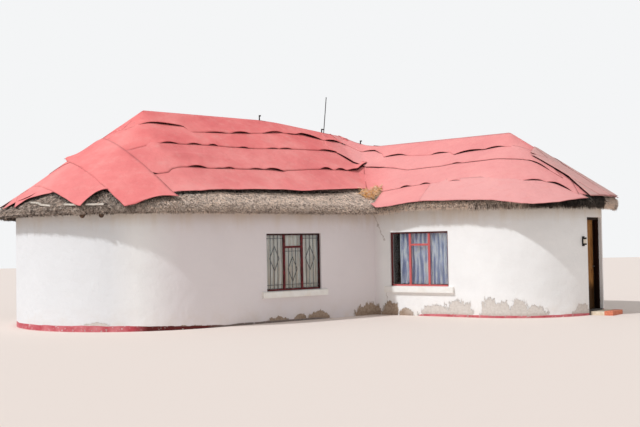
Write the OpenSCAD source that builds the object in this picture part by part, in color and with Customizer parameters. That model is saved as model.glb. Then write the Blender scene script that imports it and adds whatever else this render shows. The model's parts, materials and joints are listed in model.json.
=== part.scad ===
// Double rondavel: two round-ended wings that meet at a blunt angle, plastered walls,
// thatched roof covered with overlapping flat painted sheets. Sizes in millimetres.
// The origin is at ground level, where the centre lines of the two wings cross.
// +Z is up, +Y points to the back of the house, and the wings run to -X and +X.

/* [Plan] */
// Angle between each wing's centre line and the X axis
wing_angle = 37.3; // [33:0.1:42]
// From the crossing of the centre lines to the centre of the left round end
left_len = 5900; // [5400:10:6600]
// From the crossing of the centre lines to the centre of the right round end
right_len = 4920; // [4700:10:5600]
// Radius of the left round end, outside the wall
left_r = 2800; // [2600:10:3000]
// Radius of the right round end, outside the wall
right_r = 2050; // [1900:10:2200]

/* [Walls] */
// Thickness of the plastered walls
wall_t = 230; // [200:5:260]
// Height of the left wing's walls above the ground
left_wall_h = 2395; // [2360:5:2430]
// Height of the right wing's walls above the ground
right_wall_h = 2465; // [2430:5:2500]
// Height of the floor above the ground
floor_t = 95; // [80:5:160]

/* [Windows] */
// Width of a window opening
window_w = 1511; // [1200:1:1600]
// Height of a window opening
window_h = 1245; // [1000:1:1300]
// Height of a window opening's bottom above the ground
window_z = 675; // [600:5:760]
// From the crossing of the centre lines to the middle of the left wing's windows
left_window_t = 3750; // [3300:10:4200]
// From the crossing of the centre lines to the middle of the right wing's windows
right_window_t = 3515; // [3400:10:3700]
// From the wall's outer face to the window frame
window_setback = 45; // [30:1:80]
// Depth of a window frame, through the wall
frame_depth = 34; // [25:1:50]
// Face width of the frame along the opening's edges
frame_w = 38; // [25:1:50]
// Face width of the two upright bars
mullion_w = 52; // [35:1:70]
// Face width of the bar under the middle light's fanlight
transom_w = 46; // [30:1:60]
// From the top of the opening to the middle of that bar
fanlight_h = 295; // [220:5:400]
// Thickness of the glass
glass_t = 4; // [3:1:6]
// Thickness of the hanging curtains, folds included
curtain_t = 60; // [30:1:80]
// From the window frame to the curtain
curtain_gap = 30; // [20:1:40]
// Length of an outside window sill
sill_w = 1780; // [1600:10:1900]
// Height of an outside window sill at the wall
sill_h = 140; // [100:5:160]
// How far a sill stands out of the wall
sill_out = 70; // [50:5:100]
// How much a sill's top falls towards its front
sill_fall = 16; // [5:1:30]

/* [Doorway] */
// Width of the doorway between the walls
door_open_w = 880; // [840:5:940]
// Height of the doorway's head above the floor
door_open_h = 2080; // [2050:5:2120]
// Turn of the doorway from the right wing's centre line, towards the front
door_turn = 1; // [0:0.5:4]
// Face width of the door frame
door_frame_w = 42; // [35:1:60]
// Depth of the door frame
door_frame_d = 110; // [90:5:130]
// Thickness of the door leaf
leaf_t = 42; // [36:1:50]
// Running gap round the door leaf
leaf_gap = 6; // [6:1:10]
// How far the leaf stands open as modelled
leaf_ajar = 4; // [3:0.5:9]
// Height of the doorstep
step_h = 80; // [65:5:90]
// How far the doorstep reaches out from the wall
step_d = 270; // [200:10:400]
// Length of the doorstep along the wall
step_w = 760; // [600:10:900]
// Length of the row of bricks along the step's outer edge
brick_row = 630; // [540:90:720]
// Length of a brick, which lies across that row
brick_l = 190; // [180:5:230]
// Height of those bricks
brick_h = 95; // [70:5:110]
// Height of the wall lamp's lower end above the ground
lamp_z = 1530; // [1400:10:1700]
// Height of the wall lamp's plate
lamp_h = 215; // [150:5:240]
// Width of the wall lamp's plate
lamp_w = 70; // [50:5:90]
// Turn of the lamp from the right wing's centre line, towards the front
lamp_turn = 18; // [16:0.5:25]

/* [Roof] */
// How far the thatch reaches out from the wall
overhang = 336; // [280:2:400]
// Height of the thatch's cut edge at the eave
eave_face = 170; // [140:5:220]
// Upright thickness of the thatch at the ridge
thatch_v = 260; // [220:5:300]
// Height of the thatch on the left wing's ridge
left_ridge_z = 4800; // [4600:10:5000]
// How far the thatch falls from the left ridge to where the ridges meet
cross_drop = 250; // [150:10:350]
// How far the thatch falls from there to the lowest place of the right ridge
right_drop = 370; // [250:10:450]
// How far the right ridge rises again from its lowest place to its end
right_rise = 60; // [20:5:150]
// From the crossing to where the left ridge becomes level
left_level_t = 2400; // [1500:50:3000]
// From the crossing to the lowest place of the right ridge
right_low_t = 900; // [600:50:1500]
// Upright thickness of the roof sheets
sheet_v = 10; // [8:1:14]
// From the eave to the lower edge of the left wing's sheets
left_sheet_in = 390; // [300:10:450]
// From the eave to the lower edge of the right wing's sheets
right_sheet_in = 60; // [50:5:200]
// From the eave to the hanging corners of the sheets round the left end
flap_in = 60; // [50:5:200]
// How far the sheets overlap up the slope, as a share of the slope
lap_share = 0.035; // [0.02:0.005:0.05]

/* [Poles] */
// Width of the timber wall plates
plate_w = 100; // [80:5:120]
// Height of the timber wall plates
plate_h = 75; // [60:5:90]
// Radius of a rafter pole
rafter_r = 50; // [40:1:60]
// Spacing of the rafter poles along the straight eaves
rafter_step = 940; // [800:10:1200]
// Height of the mast over the ridge
mast_h = 950; // [800:10:1100]
// From the crossing to the mast along the left ridge
mast_t = 530; // [450:5:700]
// How far the mast leans to the right
mast_lean = 5; // [0:0.5:8]

/* [Hidden] */
$fn = 64;
round_fn = 288;
seat = 0.3;
left = -1;
right = 1;
end_steps = 24;
back_steps = 12;
back_rafter_every = 3;
fan_steps = 4;
blend_len = 900;
course_edges = [0, 0.33, 0.58, 0.80, 1];
lowest_edge_lift = 16;
lap_lift = 7;
rafter_seat = 0.8;
short_tip = 240;
long_tip = 60;
tip_clear = 420;
jack_clear = 1100;
eave_round = 45;

corner_x = (left_r - right_r) / (2 * sin(wing_angle));
left_eave_r = left_r + overhang;
right_eave_r = right_r + overhang;
cross_ridge_z = left_ridge_z - cross_drop;
right_low_z = cross_ridge_z - right_drop;
right_ridge_z = right_low_z + right_rise;
door_z1 = floor_t + door_open_h;
cut = 1;

// Places along a wing: t runs from the crossing along its centre line, and d runs from
// the centre line towards the front of the house.
function wing_pt(side, t, d) = [
    side * (cos(wing_angle) * t - sin(wing_angle) * d),
    -sin(wing_angle) * t - cos(wing_angle) * d
];
function wing_len(side) = side == left ? left_len : right_len;
function wing_r(side) = side == left ? left_r : right_r;
function wall_h(side) = side == left ? left_wall_h : right_wall_h;
function eave_r(side) = wing_r(side) + overhang;
function window_t(side) = side == left ? left_window_t : right_window_t;

// Where a line at the distance d in front of a centre line reaches the inner corner
function corner_t(side, d) = (side * corner_x + sin(wing_angle) * d) / cos(wing_angle);

module in_wing(side) {
    if (side == left) rotate([0, 0, 180 + wing_angle]) children();
    else rotate([0, 0, -wing_angle]) mirror([0, 1, 0]) children();
}

module at_end(side, turn = 0) {
    in_wing(side) translate([wing_len(side), 0, 0]) rotate([0, 0, turn]) children();
}

module at_door() at_end(right, door_turn) children();

// Part of a round wall, between two angles, with half a seat's gap at each end
module ring_part(r, a0, a1, z0, z1) {
    end_gap = asin(seat / 2 / (r - wall_t));
    rotate([0, 0, a0 + end_gap])
        rotate_extrude(angle = a1 - a0 - 2 * end_gap, $fn = round_fn)
            translate([r - wall_t, z0]) square([wall_t, z1 - z0]);
}

// Upright slab between two lines parallel to a centre line, with chosen ends, and with
// half a seat's gap at each end
module wall_slab(side, d0, d1, ends) {
    t0 = [for (t = ends[0]) t + seat / 2];
    t1 = [for (t = ends[1]) t - seat / 2];
    linear_extrude(wall_h(side))
        polygon([
            wing_pt(side, t0[0], d0), wing_pt(side, t0[1], d1),
            wing_pt(side, t1[1], d1), wing_pt(side, t1[0], d0)
        ]);
}

module window_hole(side, face) {
    low_d = face > 0 ? wing_r(side) - wall_t : -wing_r(side);
    in_wing(side)
        translate([window_t(side) - window_w / 2, low_d - cut, window_z])
            cube([window_w, wall_t + 2 * cut, window_h]);
}

// Front walls end in a mitre at the inner corner
module front_wall(side) {
    d0 = wing_r(side) - wall_t;
    d1 = wing_r(side);
    color("white") difference() {
        wall_slab(side, d0, d1, [[corner_t(side, d0), corner_t(side, d1)],
                                 [wing_len(side), wing_len(side)]]);
        window_hole(side, 1);
    }
}

module left_front_wall() front_wall(left);
module right_front_wall() front_wall(right);

module left_back_wall() color("white") difference() {
    wall_slab(left, -left_r, wall_t - left_r, [[0, 0], [left_len, left_len]]);
    window_hole(left, -1);
}

// Where the right back wall's outer face runs into the round back wall
join_t = sqrt(pow(left_r, 2) - pow(right_r, 2));

module right_back_wall() color("white") difference() {
    wall_slab(right, -right_r, wall_t - right_r, [[join_t, join_t], [right_len, right_len]]);
    window_hole(right, -1);
}

module left_end_wall_front() color("white") at_end(left)
    ring_part(left_r, 30, 90, 0, left_wall_h);
module left_end_wall_side() color("white") at_end(left)
    ring_part(left_r, -30, 30, 0, left_wall_h);
module left_end_wall_rear() color("white") at_end(left)
    ring_part(left_r, -90, -30, 0, left_wall_h);

// Round wall behind the crossing, cut off where the right wing opens
back_a0 = -wing_angle;
back_a1 = 90 + wing_angle;
back_mid = 70;
module back_round_wall_left() color("white")
    ring_part(left_r, back_mid, back_a1, 0, left_wall_h);

module back_round_wall_right() color("white") difference() {
    ring_part(left_r, back_a0, back_mid, 0, left_wall_h);
    in_wing(right) {
        translate([0, wall_t - right_r, -cut])
            cube([2 * left_r, 2 * left_r, left_wall_h + 2 * cut]);
        translate([join_t - seat / 2, -2 * left_r, -cut])
            cube([left_r, 3 * left_r, left_wall_h + 2 * cut]);
    }
}

// The space that the doorway takes out of the round wall
module doorway_space(z0, z1, gap = 0) {
    at_door() translate([right_r / 2, -door_open_w / 2 + gap, z0])
        cube([right_r, door_open_w - 2 * gap, z1 - z0]);
}

module right_end_wall_front() color("white") difference() {
    at_end(right) ring_part(right_r, door_turn, 90, 0, right_wall_h);
    doorway_space(-cut, right_wall_h + cut, -seat / 2);
}

module right_end_wall_rear() color("white") difference() {
    at_end(right) ring_part(right_r, -90, door_turn, 0, right_wall_h);
    doorway_space(-cut, right_wall_h + cut, -seat / 2);
}

module doorway_lintel_wall() color("white") intersection() {
    at_end(right) ring_part(right_r, -45, 45, 0, right_wall_h);
    doorway_space(door_z1, right_wall_h + cut, seat / 2);
}

// Outline of the house, grown or shrunk by a distance
module house_outline(grow) {
    $fn = round_fn;
    in_wing(left) {
        circle(left_r + grow);
        translate([0, -left_r - grow]) square([left_len, 2 * (left_r + grow)]);
        translate([left_len, 0]) circle(left_r + grow);
    }
    in_wing(right) {
        translate([0, -right_r - grow]) square([right_len, 2 * (right_r + grow)]);
        translate([right_len, 0]) circle(right_r + grow);
    }
}

module floor_slab() color("gray") union() {
    linear_extrude(floor_t) house_outline(-wall_t - seat);
    intersection() {
        at_end(right) cylinder(h = floor_t, r = right_r, $fn = round_fn);
        doorway_space(0, floor_t, seat);
    }
}

// Steel window: an outer frame, two upright bars and a bar under the fanlight
light_w = (window_w - 2 * frame_w - 2 * mullion_w) / 3;
module window_frame(side, face) {
    in_wing(side)
        translate([window_t(side) - window_w / 2, window_plane(side, face, 0, frame_depth), window_z])
            difference() {
                cube([window_w, frame_depth, window_h]);
                for (light = [0:2]) {
                    x = frame_w + light * (light_w + mullion_w);
                    if (light == 1) {
                        translate([x, -cut, frame_w])
                            cube([light_w, frame_depth + 2 * cut, middle_light_h()]);
                        translate([x, -cut, window_h - frame_w - fanlight_open_h()])
                            cube([light_w, frame_depth + 2 * cut, fanlight_open_h()]);
                    } else {
                        translate([x, -cut, frame_w])
                            cube([light_w, frame_depth + 2 * cut, window_h - 2 * frame_w]);
                    }
                }
            }
}

function fanlight_open_h() = fanlight_h - transom_w / 2 - frame_w;
function middle_light_h() = window_h - fanlight_h - transom_w / 2 - frame_w;

// Low edge, across the wall, of a slab of the thickness thick at the distance back
// behind the frame's outer plane
function window_plane(side, face, back, thick) =
    face > 0 ? wing_r(side) - window_setback - back - thick
             : -wing_r(side) + window_setback + back;

module window_panes(side, face) {
    back = (frame_depth - glass_t) / 2;
    in_wing(side)
        translate([window_t(side) - window_w / 2, window_plane(side, face, back, glass_t), window_z])
            for (light = [0:2]) {
                x = frame_w + light * (light_w + mullion_w);
                if (light == 1) {
                    translate([x, 0, frame_w]) cube([light_w, glass_t, middle_light_h()]);
                    translate([x, 0, window_h - frame_w - fanlight_open_h()])
                        cube([light_w, glass_t, fanlight_open_h()]);
                } else {
                    translate([x, 0, frame_w]) cube([light_w, glass_t, window_h - 2 * frame_w]);
                }
            }
}

module curtain(side, face) {
    in_wing(side)
        translate([window_t(side) - window_w / 2 + seat,
                   window_plane(side, face, frame_depth + curtain_gap, curtain_t), window_z + seat])
            cube([window_w - 2 * seat, curtain_t, window_h - 2 * seat]);
}

module window_sill(side, face) {
    in_wing(side)
        translate([window_t(side) - sill_w / 2, face * (wing_r(side) + seat), window_z - sill_h])
            rotate([90, 0, 90])
                linear_extrude(sill_w)
                    polygon([[0, 0], [face * sill_out, 0],
                             [face * sill_out, sill_h - sill_fall], [0, sill_h]]);
}

module left_window_frame() color("maroon") window_frame(left, 1);
module right_window_frame() color("maroon") window_frame(right, 1);
module back_window_frames() color("maroon") for (side = [left, right]) window_frame(side, -1);
module front_window_glass() color("lightblue", 0.5) for (side = [left, right]) window_panes(side, 1);
module back_window_glass() color("lightblue", 0.5) for (side = [left, right]) window_panes(side, -1);
module window_sills() color("whitesmoke")
    for (side = [left, right], face = [-1, 1]) window_sill(side, face);
module left_curtains() color("tan") curtain(left, 1);
module right_curtains() color("lavender") curtain(right, 1);
module back_curtains() color("tan") for (side = [left, right]) curtain(side, -1);

// Door: the frame's outer plane lies just inside the wall's corner at the doorway
door_reveal = 70;
frame_x1 = sqrt(pow(right_r, 2) - pow(door_open_w / 2, 2)) - door_reveal;
frame_x0 = frame_x1 - door_frame_d;
leaf_w = door_open_w - 2 * door_frame_w - 2 * leaf_gap;
leaf_h = door_open_h - door_frame_w - 2 * leaf_gap;
hinge_y = door_open_w / 2 - door_frame_w - leaf_gap;
stop_w = 14;
knuckle_r = 9;
knuckle_h = 45;
knuckle_gap = 2;
pin_r = 5;
hinge_plate_t = 4;
hinge_plate_w = 34;
hinge_zs = [230, 990, 1750];
pin_x = frame_x0 - knuckle_r;
pin_y = hinge_y + leaf_gap / 2;

module door_frame() color("saddlebrown") at_door()
    translate([frame_x0, -door_open_w / 2, floor_t])
        difference() {
            cube([door_frame_d, door_open_w, door_open_h]);
            translate([-cut, door_frame_w, -cut])
                cube([leaf_t + leaf_gap + cut, door_open_w - 2 * door_frame_w,
                      door_open_h - door_frame_w + cut]);
            translate([0, door_frame_w + stop_w, -cut])
                cube([door_frame_d + cut, door_open_w - 2 * (door_frame_w + stop_w),
                      door_open_h - door_frame_w - stop_w + cut]);
        }

// The leaf turns about its hinge pins, which stand inside the room at the front jamb
module at_pin() at_door() translate([pin_x, pin_y, floor_t]) children();

module on_leaf() at_pin() rotate([0, 0, -leaf_ajar])
    translate([frame_x0 - pin_x, hinge_y - pin_y, leaf_gap]) children();

// One half of a butt hinge: a knuckle, and a plate that lies on the timber beside it
module hinge_half(dir, plate_y) {
    cylinder(h = knuckle_h, r = knuckle_r);
    translate([knuckle_r - hinge_plate_t, dir > 0 ? 0 : -plate_y, 0])
        cube([hinge_plate_t - seat, plate_y, knuckle_h]);
}

module door_hinges() color("dimgray") at_pin()
    for (z = hinge_zs) translate([0, 0, z]) {
        hinge_half(1, hinge_plate_w);
        cylinder(h = 2 * knuckle_h + knuckle_gap, r = pin_r);
    }

module leaf_hinges() color("dimgray") at_pin() rotate([0, 0, -leaf_ajar])
    for (z = hinge_zs) translate([0, 0, z + knuckle_h + knuckle_gap])
        difference() {
            hinge_half(-1, hinge_plate_w);
            translate([0, 0, -cut]) cylinder(h = knuckle_h + 2 * cut, r = pin_r + seat);
        }

panel_in = 10;
stile_w = 105;
bottom_rail_h = 200;
mid_rail_z = 905;
mid_rail_h = 120;
panel_w = (leaf_w - 3 * stile_w) / 2;
module door_leaf() color("sienna") on_leaf() difference() {
    translate([0, -leaf_w, 0]) cube([leaf_t, leaf_w, leaf_h]);
    for (face = [0, 1], row = [0, 1], col = [0, 1]) {
        z0 = row == 0 ? bottom_rail_h : mid_rail_z + mid_rail_h;
        z1 = row == 0 ? mid_rail_z : leaf_h - stile_w;
        translate([face == 0 ? -cut : leaf_t - panel_in,
                   -leaf_w + stile_w + col * (panel_w + stile_w), z0])
            cube([panel_in + cut, panel_w, z1 - z0]);
    }
}

// A lever on a round rose, on each face of the leaf
handle_z = 960;
rose_r = 24;
rose_t = 6;
lever_r = 9;
lever_out = 42;
lever_l = 110;
module door_handle() color("silver") on_leaf()
    for (face = [-1, 1])
        translate([face > 0 ? leaf_t : 0, stile_w / 2 - leaf_w, handle_z])
            rotate([0, 90 * face, 0]) {
                cylinder(h = rose_t, r = rose_r);
                cylinder(h = lever_out, r = lever_r);
                translate([0, 0, lever_out]) sphere(r = lever_r);
                translate([0, 0, lever_out]) rotate([-90, 0, 0]) cylinder(h = lever_l, r = lever_r);
            }

module doorstep() color("antiquewhite") difference() {
    at_door() translate([right_r / 2, -step_w / 2, 0])
        cube([right_r / 2 + step_d, step_w, step_h]);
    at_end(right) translate([0, 0, -cut])
        cylinder(h = step_h + 2 * cut, r = right_r + seat, $fn = round_fn);
}

module step_bricks() color("darksalmon") at_door()
    translate([right_r + step_d + seat, step_w / 2 - brick_row, 0])
        cube([brick_l, brick_row, brick_h]);

// A plate on the wall that carries an upright tube lamp
lamp_plate_t = 18;
lamp_tube_r = 38;
lamp_tube_in = 4;
lamp_margin = 25;
module wall_lamp() color("black") at_end(right, lamp_turn)
    translate([right_r + seat, 0, lamp_z]) {
        translate([0, -lamp_w / 2, 0]) cube([lamp_plate_t, lamp_w, lamp_h]);
        translate([lamp_plate_t + lamp_tube_r - lamp_tube_in, 0, lamp_margin])
            cylinder(h = lamp_h - 2 * lamp_margin, r = lamp_tube_r);
    }

// A closed section carried from station to station. The first half of its points runs up
// the outside and the second half comes back on the inside, and both halves are split
// into triangles the same way, so that a sheet follows the thatch under it. With tip set,
// the two points in the middle of the list stay in one place at every station.
module loft(rows, tip = false) {
    n = len(rows[0]);
    last = len(rows) - 1;
    function id(i, k) = tip && (k == n / 2 - 1 || k == n / 2) ? k : i * n + k;
    sides = [
        for (i = [0:last - 1], k = [0:n - 1])
            let (a = id(i, k), b = id(i, (k + 1) % n), c = id(i + 1, (k + 1) % n), d = id(i + 1, k))
                for (face = k < n / 2 ? [[a, b, c], [a, c, d]] : [[a, b, d], [b, c, d]])
                    if (face[0] != face[1] && face[1] != face[2] && face[0] != face[2]) face
    ];
    caps = [
        [for (k = [n - 1:-1:0]) id(0, k)],
        [for (k = [0:n - 1]) id(last, k)]
    ];
    polyhedron([for (row = rows) each row], concat(sides, caps), convexity = 6);
}

// The roof is ruled between the eave and the ridge. A station is one line of it: its place
// at the eave, its place and height on the ridge, the height of the thatch's lower edge,
// and how far in from the eave the sheets begin and the lowest one ends.
function ridge_z(side, t) = side == left
    ? lookup(t, [[0, cross_ridge_z], [left_level_t, left_ridge_z]])
    : lookup(t, [[0, cross_ridge_z], [right_low_t, right_low_z], [right_len, right_ridge_z]]);

function ridge_pt(side, t, d = 0) = concat(wing_pt(side, t, d), ridge_z(side, t));
function sheet_in(side) = side == left ? left_sheet_in : right_sheet_in;

// The thatch lies on the rafters, and they lie on the wall plate's outer edge
plate_in = (wall_t - plate_w) / 2;
function plate_top(side) = wall_h(side) + seat + plate_h;
function slope_over_plate(side, top, under) = (top - under) / (wing_r(side) - plate_in);
function under_at_plate(side, top, guess, rounds = 4) =
    rounds == 0 ? guess
    : under_at_plate(side, top, plate_top(side) + seat
          + (2 * rafter_r + rafter_seat) * sqrt(1 + pow(slope_over_plate(side, top, guess), 2)),
          rounds - 1);
function seated_eave(side, t) =
    let (top = ridge_z(side, t) - thatch_v, under = under_at_plate(side, top, plate_top(side)))
        under - slope_over_plate(side, top, under) * (overhang + plate_in - eave_round);

left_valley_t = corner_t(left, left_eave_r) + seat;
right_valley_t = corner_t(right, right_eave_r) + seat;
eave_join_t = sqrt(pow(left_eave_r, 2) - pow(right_eave_r, 2));
join_valley_t = eave_join_t + seat;
eave_join_a = -wing_angle + atan2(right_eave_r, eave_join_t);
corner_eave_z = seated_eave(left, left_valley_t);
join_eave_z = seated_eave(left, 0);

// Height of the right wing's eave, which rises from the left wing's at each inner corner
function right_eave(t, t0, z0) =
    let (s = min(1, (t - t0) / blend_len)) z0 * (1 - s) + seated_eave(right, t) * s;

// The sheets round the left end hang down in corners at some angles and stop short of the
// eave between them. At each of these angles, 1 is a corner and 0 is a notch.
flap_corners = [
    [-90, 0], [-67.5, 1], [-45, 0], [-22.5, 1], [-15, 0.4], [-7.5, 0.2], [7.5, 1], [22.5, 0],
    [37.5, 1], [45, 0], [52.5, 1], [75, 0.5], [82.5, 0], [90, 0]
];

function lowest_in(side, a) =
    side == left ? left_sheet_in + (flap_in - left_sheet_in) * lookup(a, flap_corners)
                 : right_sheet_in;

function end_station(side, a) = [
    wing_pt(side, wing_len(side) + eave_r(side) * cos(a), eave_r(side) * sin(a)),
    ridge_pt(side, wing_len(side)),
    seated_eave(side, wing_len(side)),
    [sheet_in(side), lowest_in(side, a)]
];

function end_stations(side, a0, a1) =
    [for (i = [0:end_steps]) end_station(side, a0 + (a1 - a0) * i / end_steps)];

// Places of the stations along a straight eave, from a seat's gap beside the round end to
// the place t0. There is one at each rafter and one between two rafters.
function side_places(side, t0) = concat(
    [wing_len(side) - seat],
    [for (t = [wing_len(side) - rafter_step / 2:-rafter_step / 2:t0 + rafter_step / 8]) t],
    [t0]
);

// Slopes that face each other across a ridge stay a seat's gap apart
function side_ridge(side, d, t) = ridge_pt(side, t, sign(d) * seat / 2);

function side_station(side, d, t, z) =
    [wing_pt(side, t, d), side_ridge(side, d, t), z, [sheet_in(side), sheet_in(side)]];

// Stations that fan out from the foot of a valley to the ridge
function fan_stations(side, d, t0, z) = [
    for (i = [0:fan_steps])
        [wing_pt(side, t0, d), side_ridge(side, d, t0 + (seat - t0) * i / fan_steps), z,
         [sheet_in(side), sheet_in(side)]]
];

function backwards(list) = [for (i = [len(list) - 1:-1:0]) list[i]];

left_end_st = end_stations(left, 90, -90);
right_end_st = end_stations(right, -90, 90);
left_back_st = [
    for (t = side_places(left, seat)) side_station(left, -left_eave_r, t, seated_eave(left, t))
];
back_round_st = [
    for (i = [0:back_steps])
        let (a = back_a1 + (eave_join_a - back_a1) * i / back_steps)
            [[left_eave_r * cos(a), left_eave_r * sin(a)], ridge_pt(left, 0), join_eave_z,
             [left_sheet_in, left_sheet_in]]
];
right_back_st = backwards([
    for (t = side_places(right, join_valley_t))
        side_station(right, -right_eave_r, t, right_eave(t, join_valley_t, join_eave_z))
]);
right_back_fan = backwards(fan_stations(right, -right_eave_r, join_valley_t, join_eave_z));
right_front_st = [
    for (t = side_places(right, right_valley_t))
        side_station(right, right_eave_r, t, right_eave(t, right_valley_t, corner_eave_z))
];
right_front_fan = fan_stations(right, right_eave_r, right_valley_t, corner_eave_z);
left_front_st = backwards([
    for (t = side_places(left, left_valley_t))
        side_station(left, left_eave_r, t, seated_eave(left, t))
]);
left_front_fan = backwards(fan_stations(left, left_eave_r, left_valley_t, corner_eave_z));

function flat_len(st) = norm([st[1][0] - st[0][0], st[1][1] - st[0][1]]);
function share(st, q) = q / flat_len(st);
function eave_top(st) = st[2] + eave_face;

// A point at the share v up a station's line, raised by lift over the thatch
function roof_pt(st, v, lift) = [
    st[0][0] + (st[1][0] - st[0][0]) * v,
    st[0][1] + (st[1][1] - st[0][1]) * v,
    eave_top(st) + (st[1][2] - eave_top(st)) * v + lift
];

// Height of the thatch's underside at the share v
function under_z(st, v) =
    let (v0 = share(st, eave_round)) st[2] + (st[1][2] - thatch_v - st[2]) * (v - v0) / (1 - v0);

function at_height(p, z) = [p[0], p[1], z];

// Shares up the slope at which the courses begin and end, from the lowest edge to the ridge
function course_v(st, k) =
    let (v0 = share(st, st[3][0]))
        k == 0 ? share(st, st[3][1]) : v0 + (1 - v0) * course_edges[k];
function lap_v(st, k) = course_v(st, k) + lap_share;
last_course = len(course_edges) - 2;
function slope_vs(st) = concat(
    [share(st, eave_round), course_v(st, 0), lap_v(st, 0)],
    [for (k = [1:last_course]) each [course_v(st, k), lap_v(st, k)]],
    [1]
);

function thatch_row(st) = concat(
    [at_height(roof_pt(st, 0, 0), st[2] + eave_round),
     at_height(roof_pt(st, 0, 0), eave_top(st) - eave_round)],
    [for (v = slope_vs(st)) roof_pt(st, v, 0)],
    [for (v = backwards(slope_vs(st))) at_height(roof_pt(st, v, 0), under_z(st, v))],
    [for (i = [0, 1]) at_height(roof_pt(st, share(st, eave_round) * (0.6 - i * 0.3), 0),
                                st[2] + eave_round * (0.1 + i * 0.3))]
);

module thatch(stations, tip = false) color("gray")
    loft([for (st = stations) thatch_row(st)], tip);

// One course of sheets. Its upper edge lies on the thatch, and its lower edge lies on the
// course below it.
function course_vs(st, k) =
    k == last_course ? [course_v(st, k), lap_v(st, k), 1]
                     : [course_v(st, k), lap_v(st, k), course_v(st, k + 1), lap_v(st, k + 1)];

function course_row(st, k) =
    let (vs = course_vs(st, k), n = len(vs), low = k == 0 ? lowest_edge_lift : sheet_v + lap_lift)
        concat(
            [for (v = vs) roof_pt(st, v, sheet_v + sheet_lift(v, vs[0], vs[n - 1], low))],
            [for (v = backwards(vs)) roof_pt(st, v, sheet_lift(v, vs[0], vs[n - 1], low))]
        );

function sheet_lift(v, v0, v1, low) = low + (seat - low) * (v - v0) / (v1 - v0);

module sheets(stations, tip = false) color("lightcoral")
    for (k = [0:last_course]) loft([for (st = stations) course_row(st, k)], tip && k == last_course);

// Straight slopes with the fan of the valley that they run into
function joined(first, second) = concat(first, [for (i = [1:len(second) - 1]) second[i]]);
left_front_all = joined(left_front_fan, left_front_st);
right_front_all = joined(right_front_st, right_front_fan);
right_back_all = joined(right_back_fan, right_back_st);

module left_end_thatch() thatch(left_end_st, true);
module left_front_thatch() thatch(left_front_all);
module left_back_thatch() thatch(left_back_st);
module back_round_thatch() thatch(back_round_st, true);
module right_front_thatch() thatch(right_front_all);
module right_end_thatch() thatch(right_end_st, true);
module right_back_thatch() thatch(right_back_all);

module left_end_sheets() sheets(left_end_st, true);
module left_front_sheets() sheets(left_front_all);
module left_back_sheets() sheets(left_back_st);
module back_round_sheets() sheets(back_round_st, true);
module right_front_sheets() sheets(right_front_all);
module right_end_sheets() sheets(right_end_st, true);
module right_back_sheets() sheets(right_back_all);

// A rafter pole just below the thatch's underside on one station's line. Its tip stands
// in from the eave by tip_in, and its head stops short of the ridge by head_clear.
module rafter(st, tip_in = short_tip, head_clear = tip_clear) {
    v0 = share(st, tip_in);
    v1 = 1 - share(st, head_clear);
    slope = atan2(under_z(st, v1) - under_z(st, v0), flat_len(st) * (v1 - v0));
    turn = atan2(st[1][1] - st[0][1], st[1][0] - st[0][0]);
    translate(at_height(roof_pt(st, v0, 0), under_z(st, v0)))
        rotate([0, 0, turn]) rotate([0, 90 - slope, 0])
            translate([rafter_r + rafter_seat, 0, 0])
                cylinder(h = flat_len(st) * (v1 - v0) / cos(slope), r = rafter_r);
}

module side_rafters(side, d, t0)
    for (t = [wing_len(side) - rafter_step:-rafter_step:t0])
        rafter(side_station(side, d, t, seated_eave(side, t)));

// Rafters round an end stand under stations, at these angles. The long ones show.
module end_rafters(side, short_at, long_at) {
    for (a = short_at) rafter(end_station(side, a));
    for (a = long_at) rafter(end_station(side, a), long_tip);
}

module left_rafters() color("peru") {
    end_rafters(left, [-90, -67.5, -45, -22.5, 0, 22.5, 67.5, 90], [45]);
    rafter(end_station(left, 37.5), long_tip, jack_clear);
    side_rafters(left, left_eave_r, max(left_level_t, left_valley_t));
    side_rafters(left, -left_eave_r, rafter_step / 2);
    for (i = [0:back_rafter_every:back_steps - 1]) rafter(back_round_st[i]);
}

module right_rafters() color("peru") {
    end_rafters(right, [-90, -67.5, -45, -22.5, 0, 90], [30, 45, 67.5]);
    side_rafters(right, right_eave_r, right_valley_t + blend_len);
    side_rafters(right, -right_eave_r, join_valley_t + blend_len);
}

// Ring of timber on top of the walls, cut where the wings meet
module plate_ring(side) {
    translate([0, 0, wall_h(side) + seat]) linear_extrude(plate_h) difference() {
        house_outline(-plate_in);
        house_outline(-plate_in - plate_w);
        if (side == left) right_wing_area(2 * seat);
    }
}

// Everything on the right wing's side of both inner corners, grown by a distance
module right_wing_area(grow = 0) {
    far = 2 * left_len;
    x0 = corner_x - grow;
    t0 = join_t - grow;
    polygon([
        [x0, -far], [x0, wing_pt(right, 0, 0)[1]],
        wing_pt(right, t0, 0), wing_pt(right, t0, -far), [far, far], [far, -far]
    ]);
}

module left_wall_plate() color("burlywood") plate_ring(left);

module right_wall_plate() color("burlywood") intersection() {
    plate_ring(right);
    translate([0, 0, right_wall_h]) linear_extrude(plate_h + 2 * cut) right_wing_area();
}

// The leaning mast's foot is raised so far that it clears the rising ridge on its one side
mast_r = 11;
foot_rise = mast_r * max(0, cross_drop / left_level_t - sin(mast_lean) * cos(wing_angle));
module roof_mast() color("dimgray")
    translate(concat(wing_pt(left, mast_t, 0),
                     ridge_z(left, mast_t) + sheet_v + 2 * seat + foot_rise))
        rotate([0, mast_lean, 0]) cylinder(h = mast_h, r = mast_r);

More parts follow.
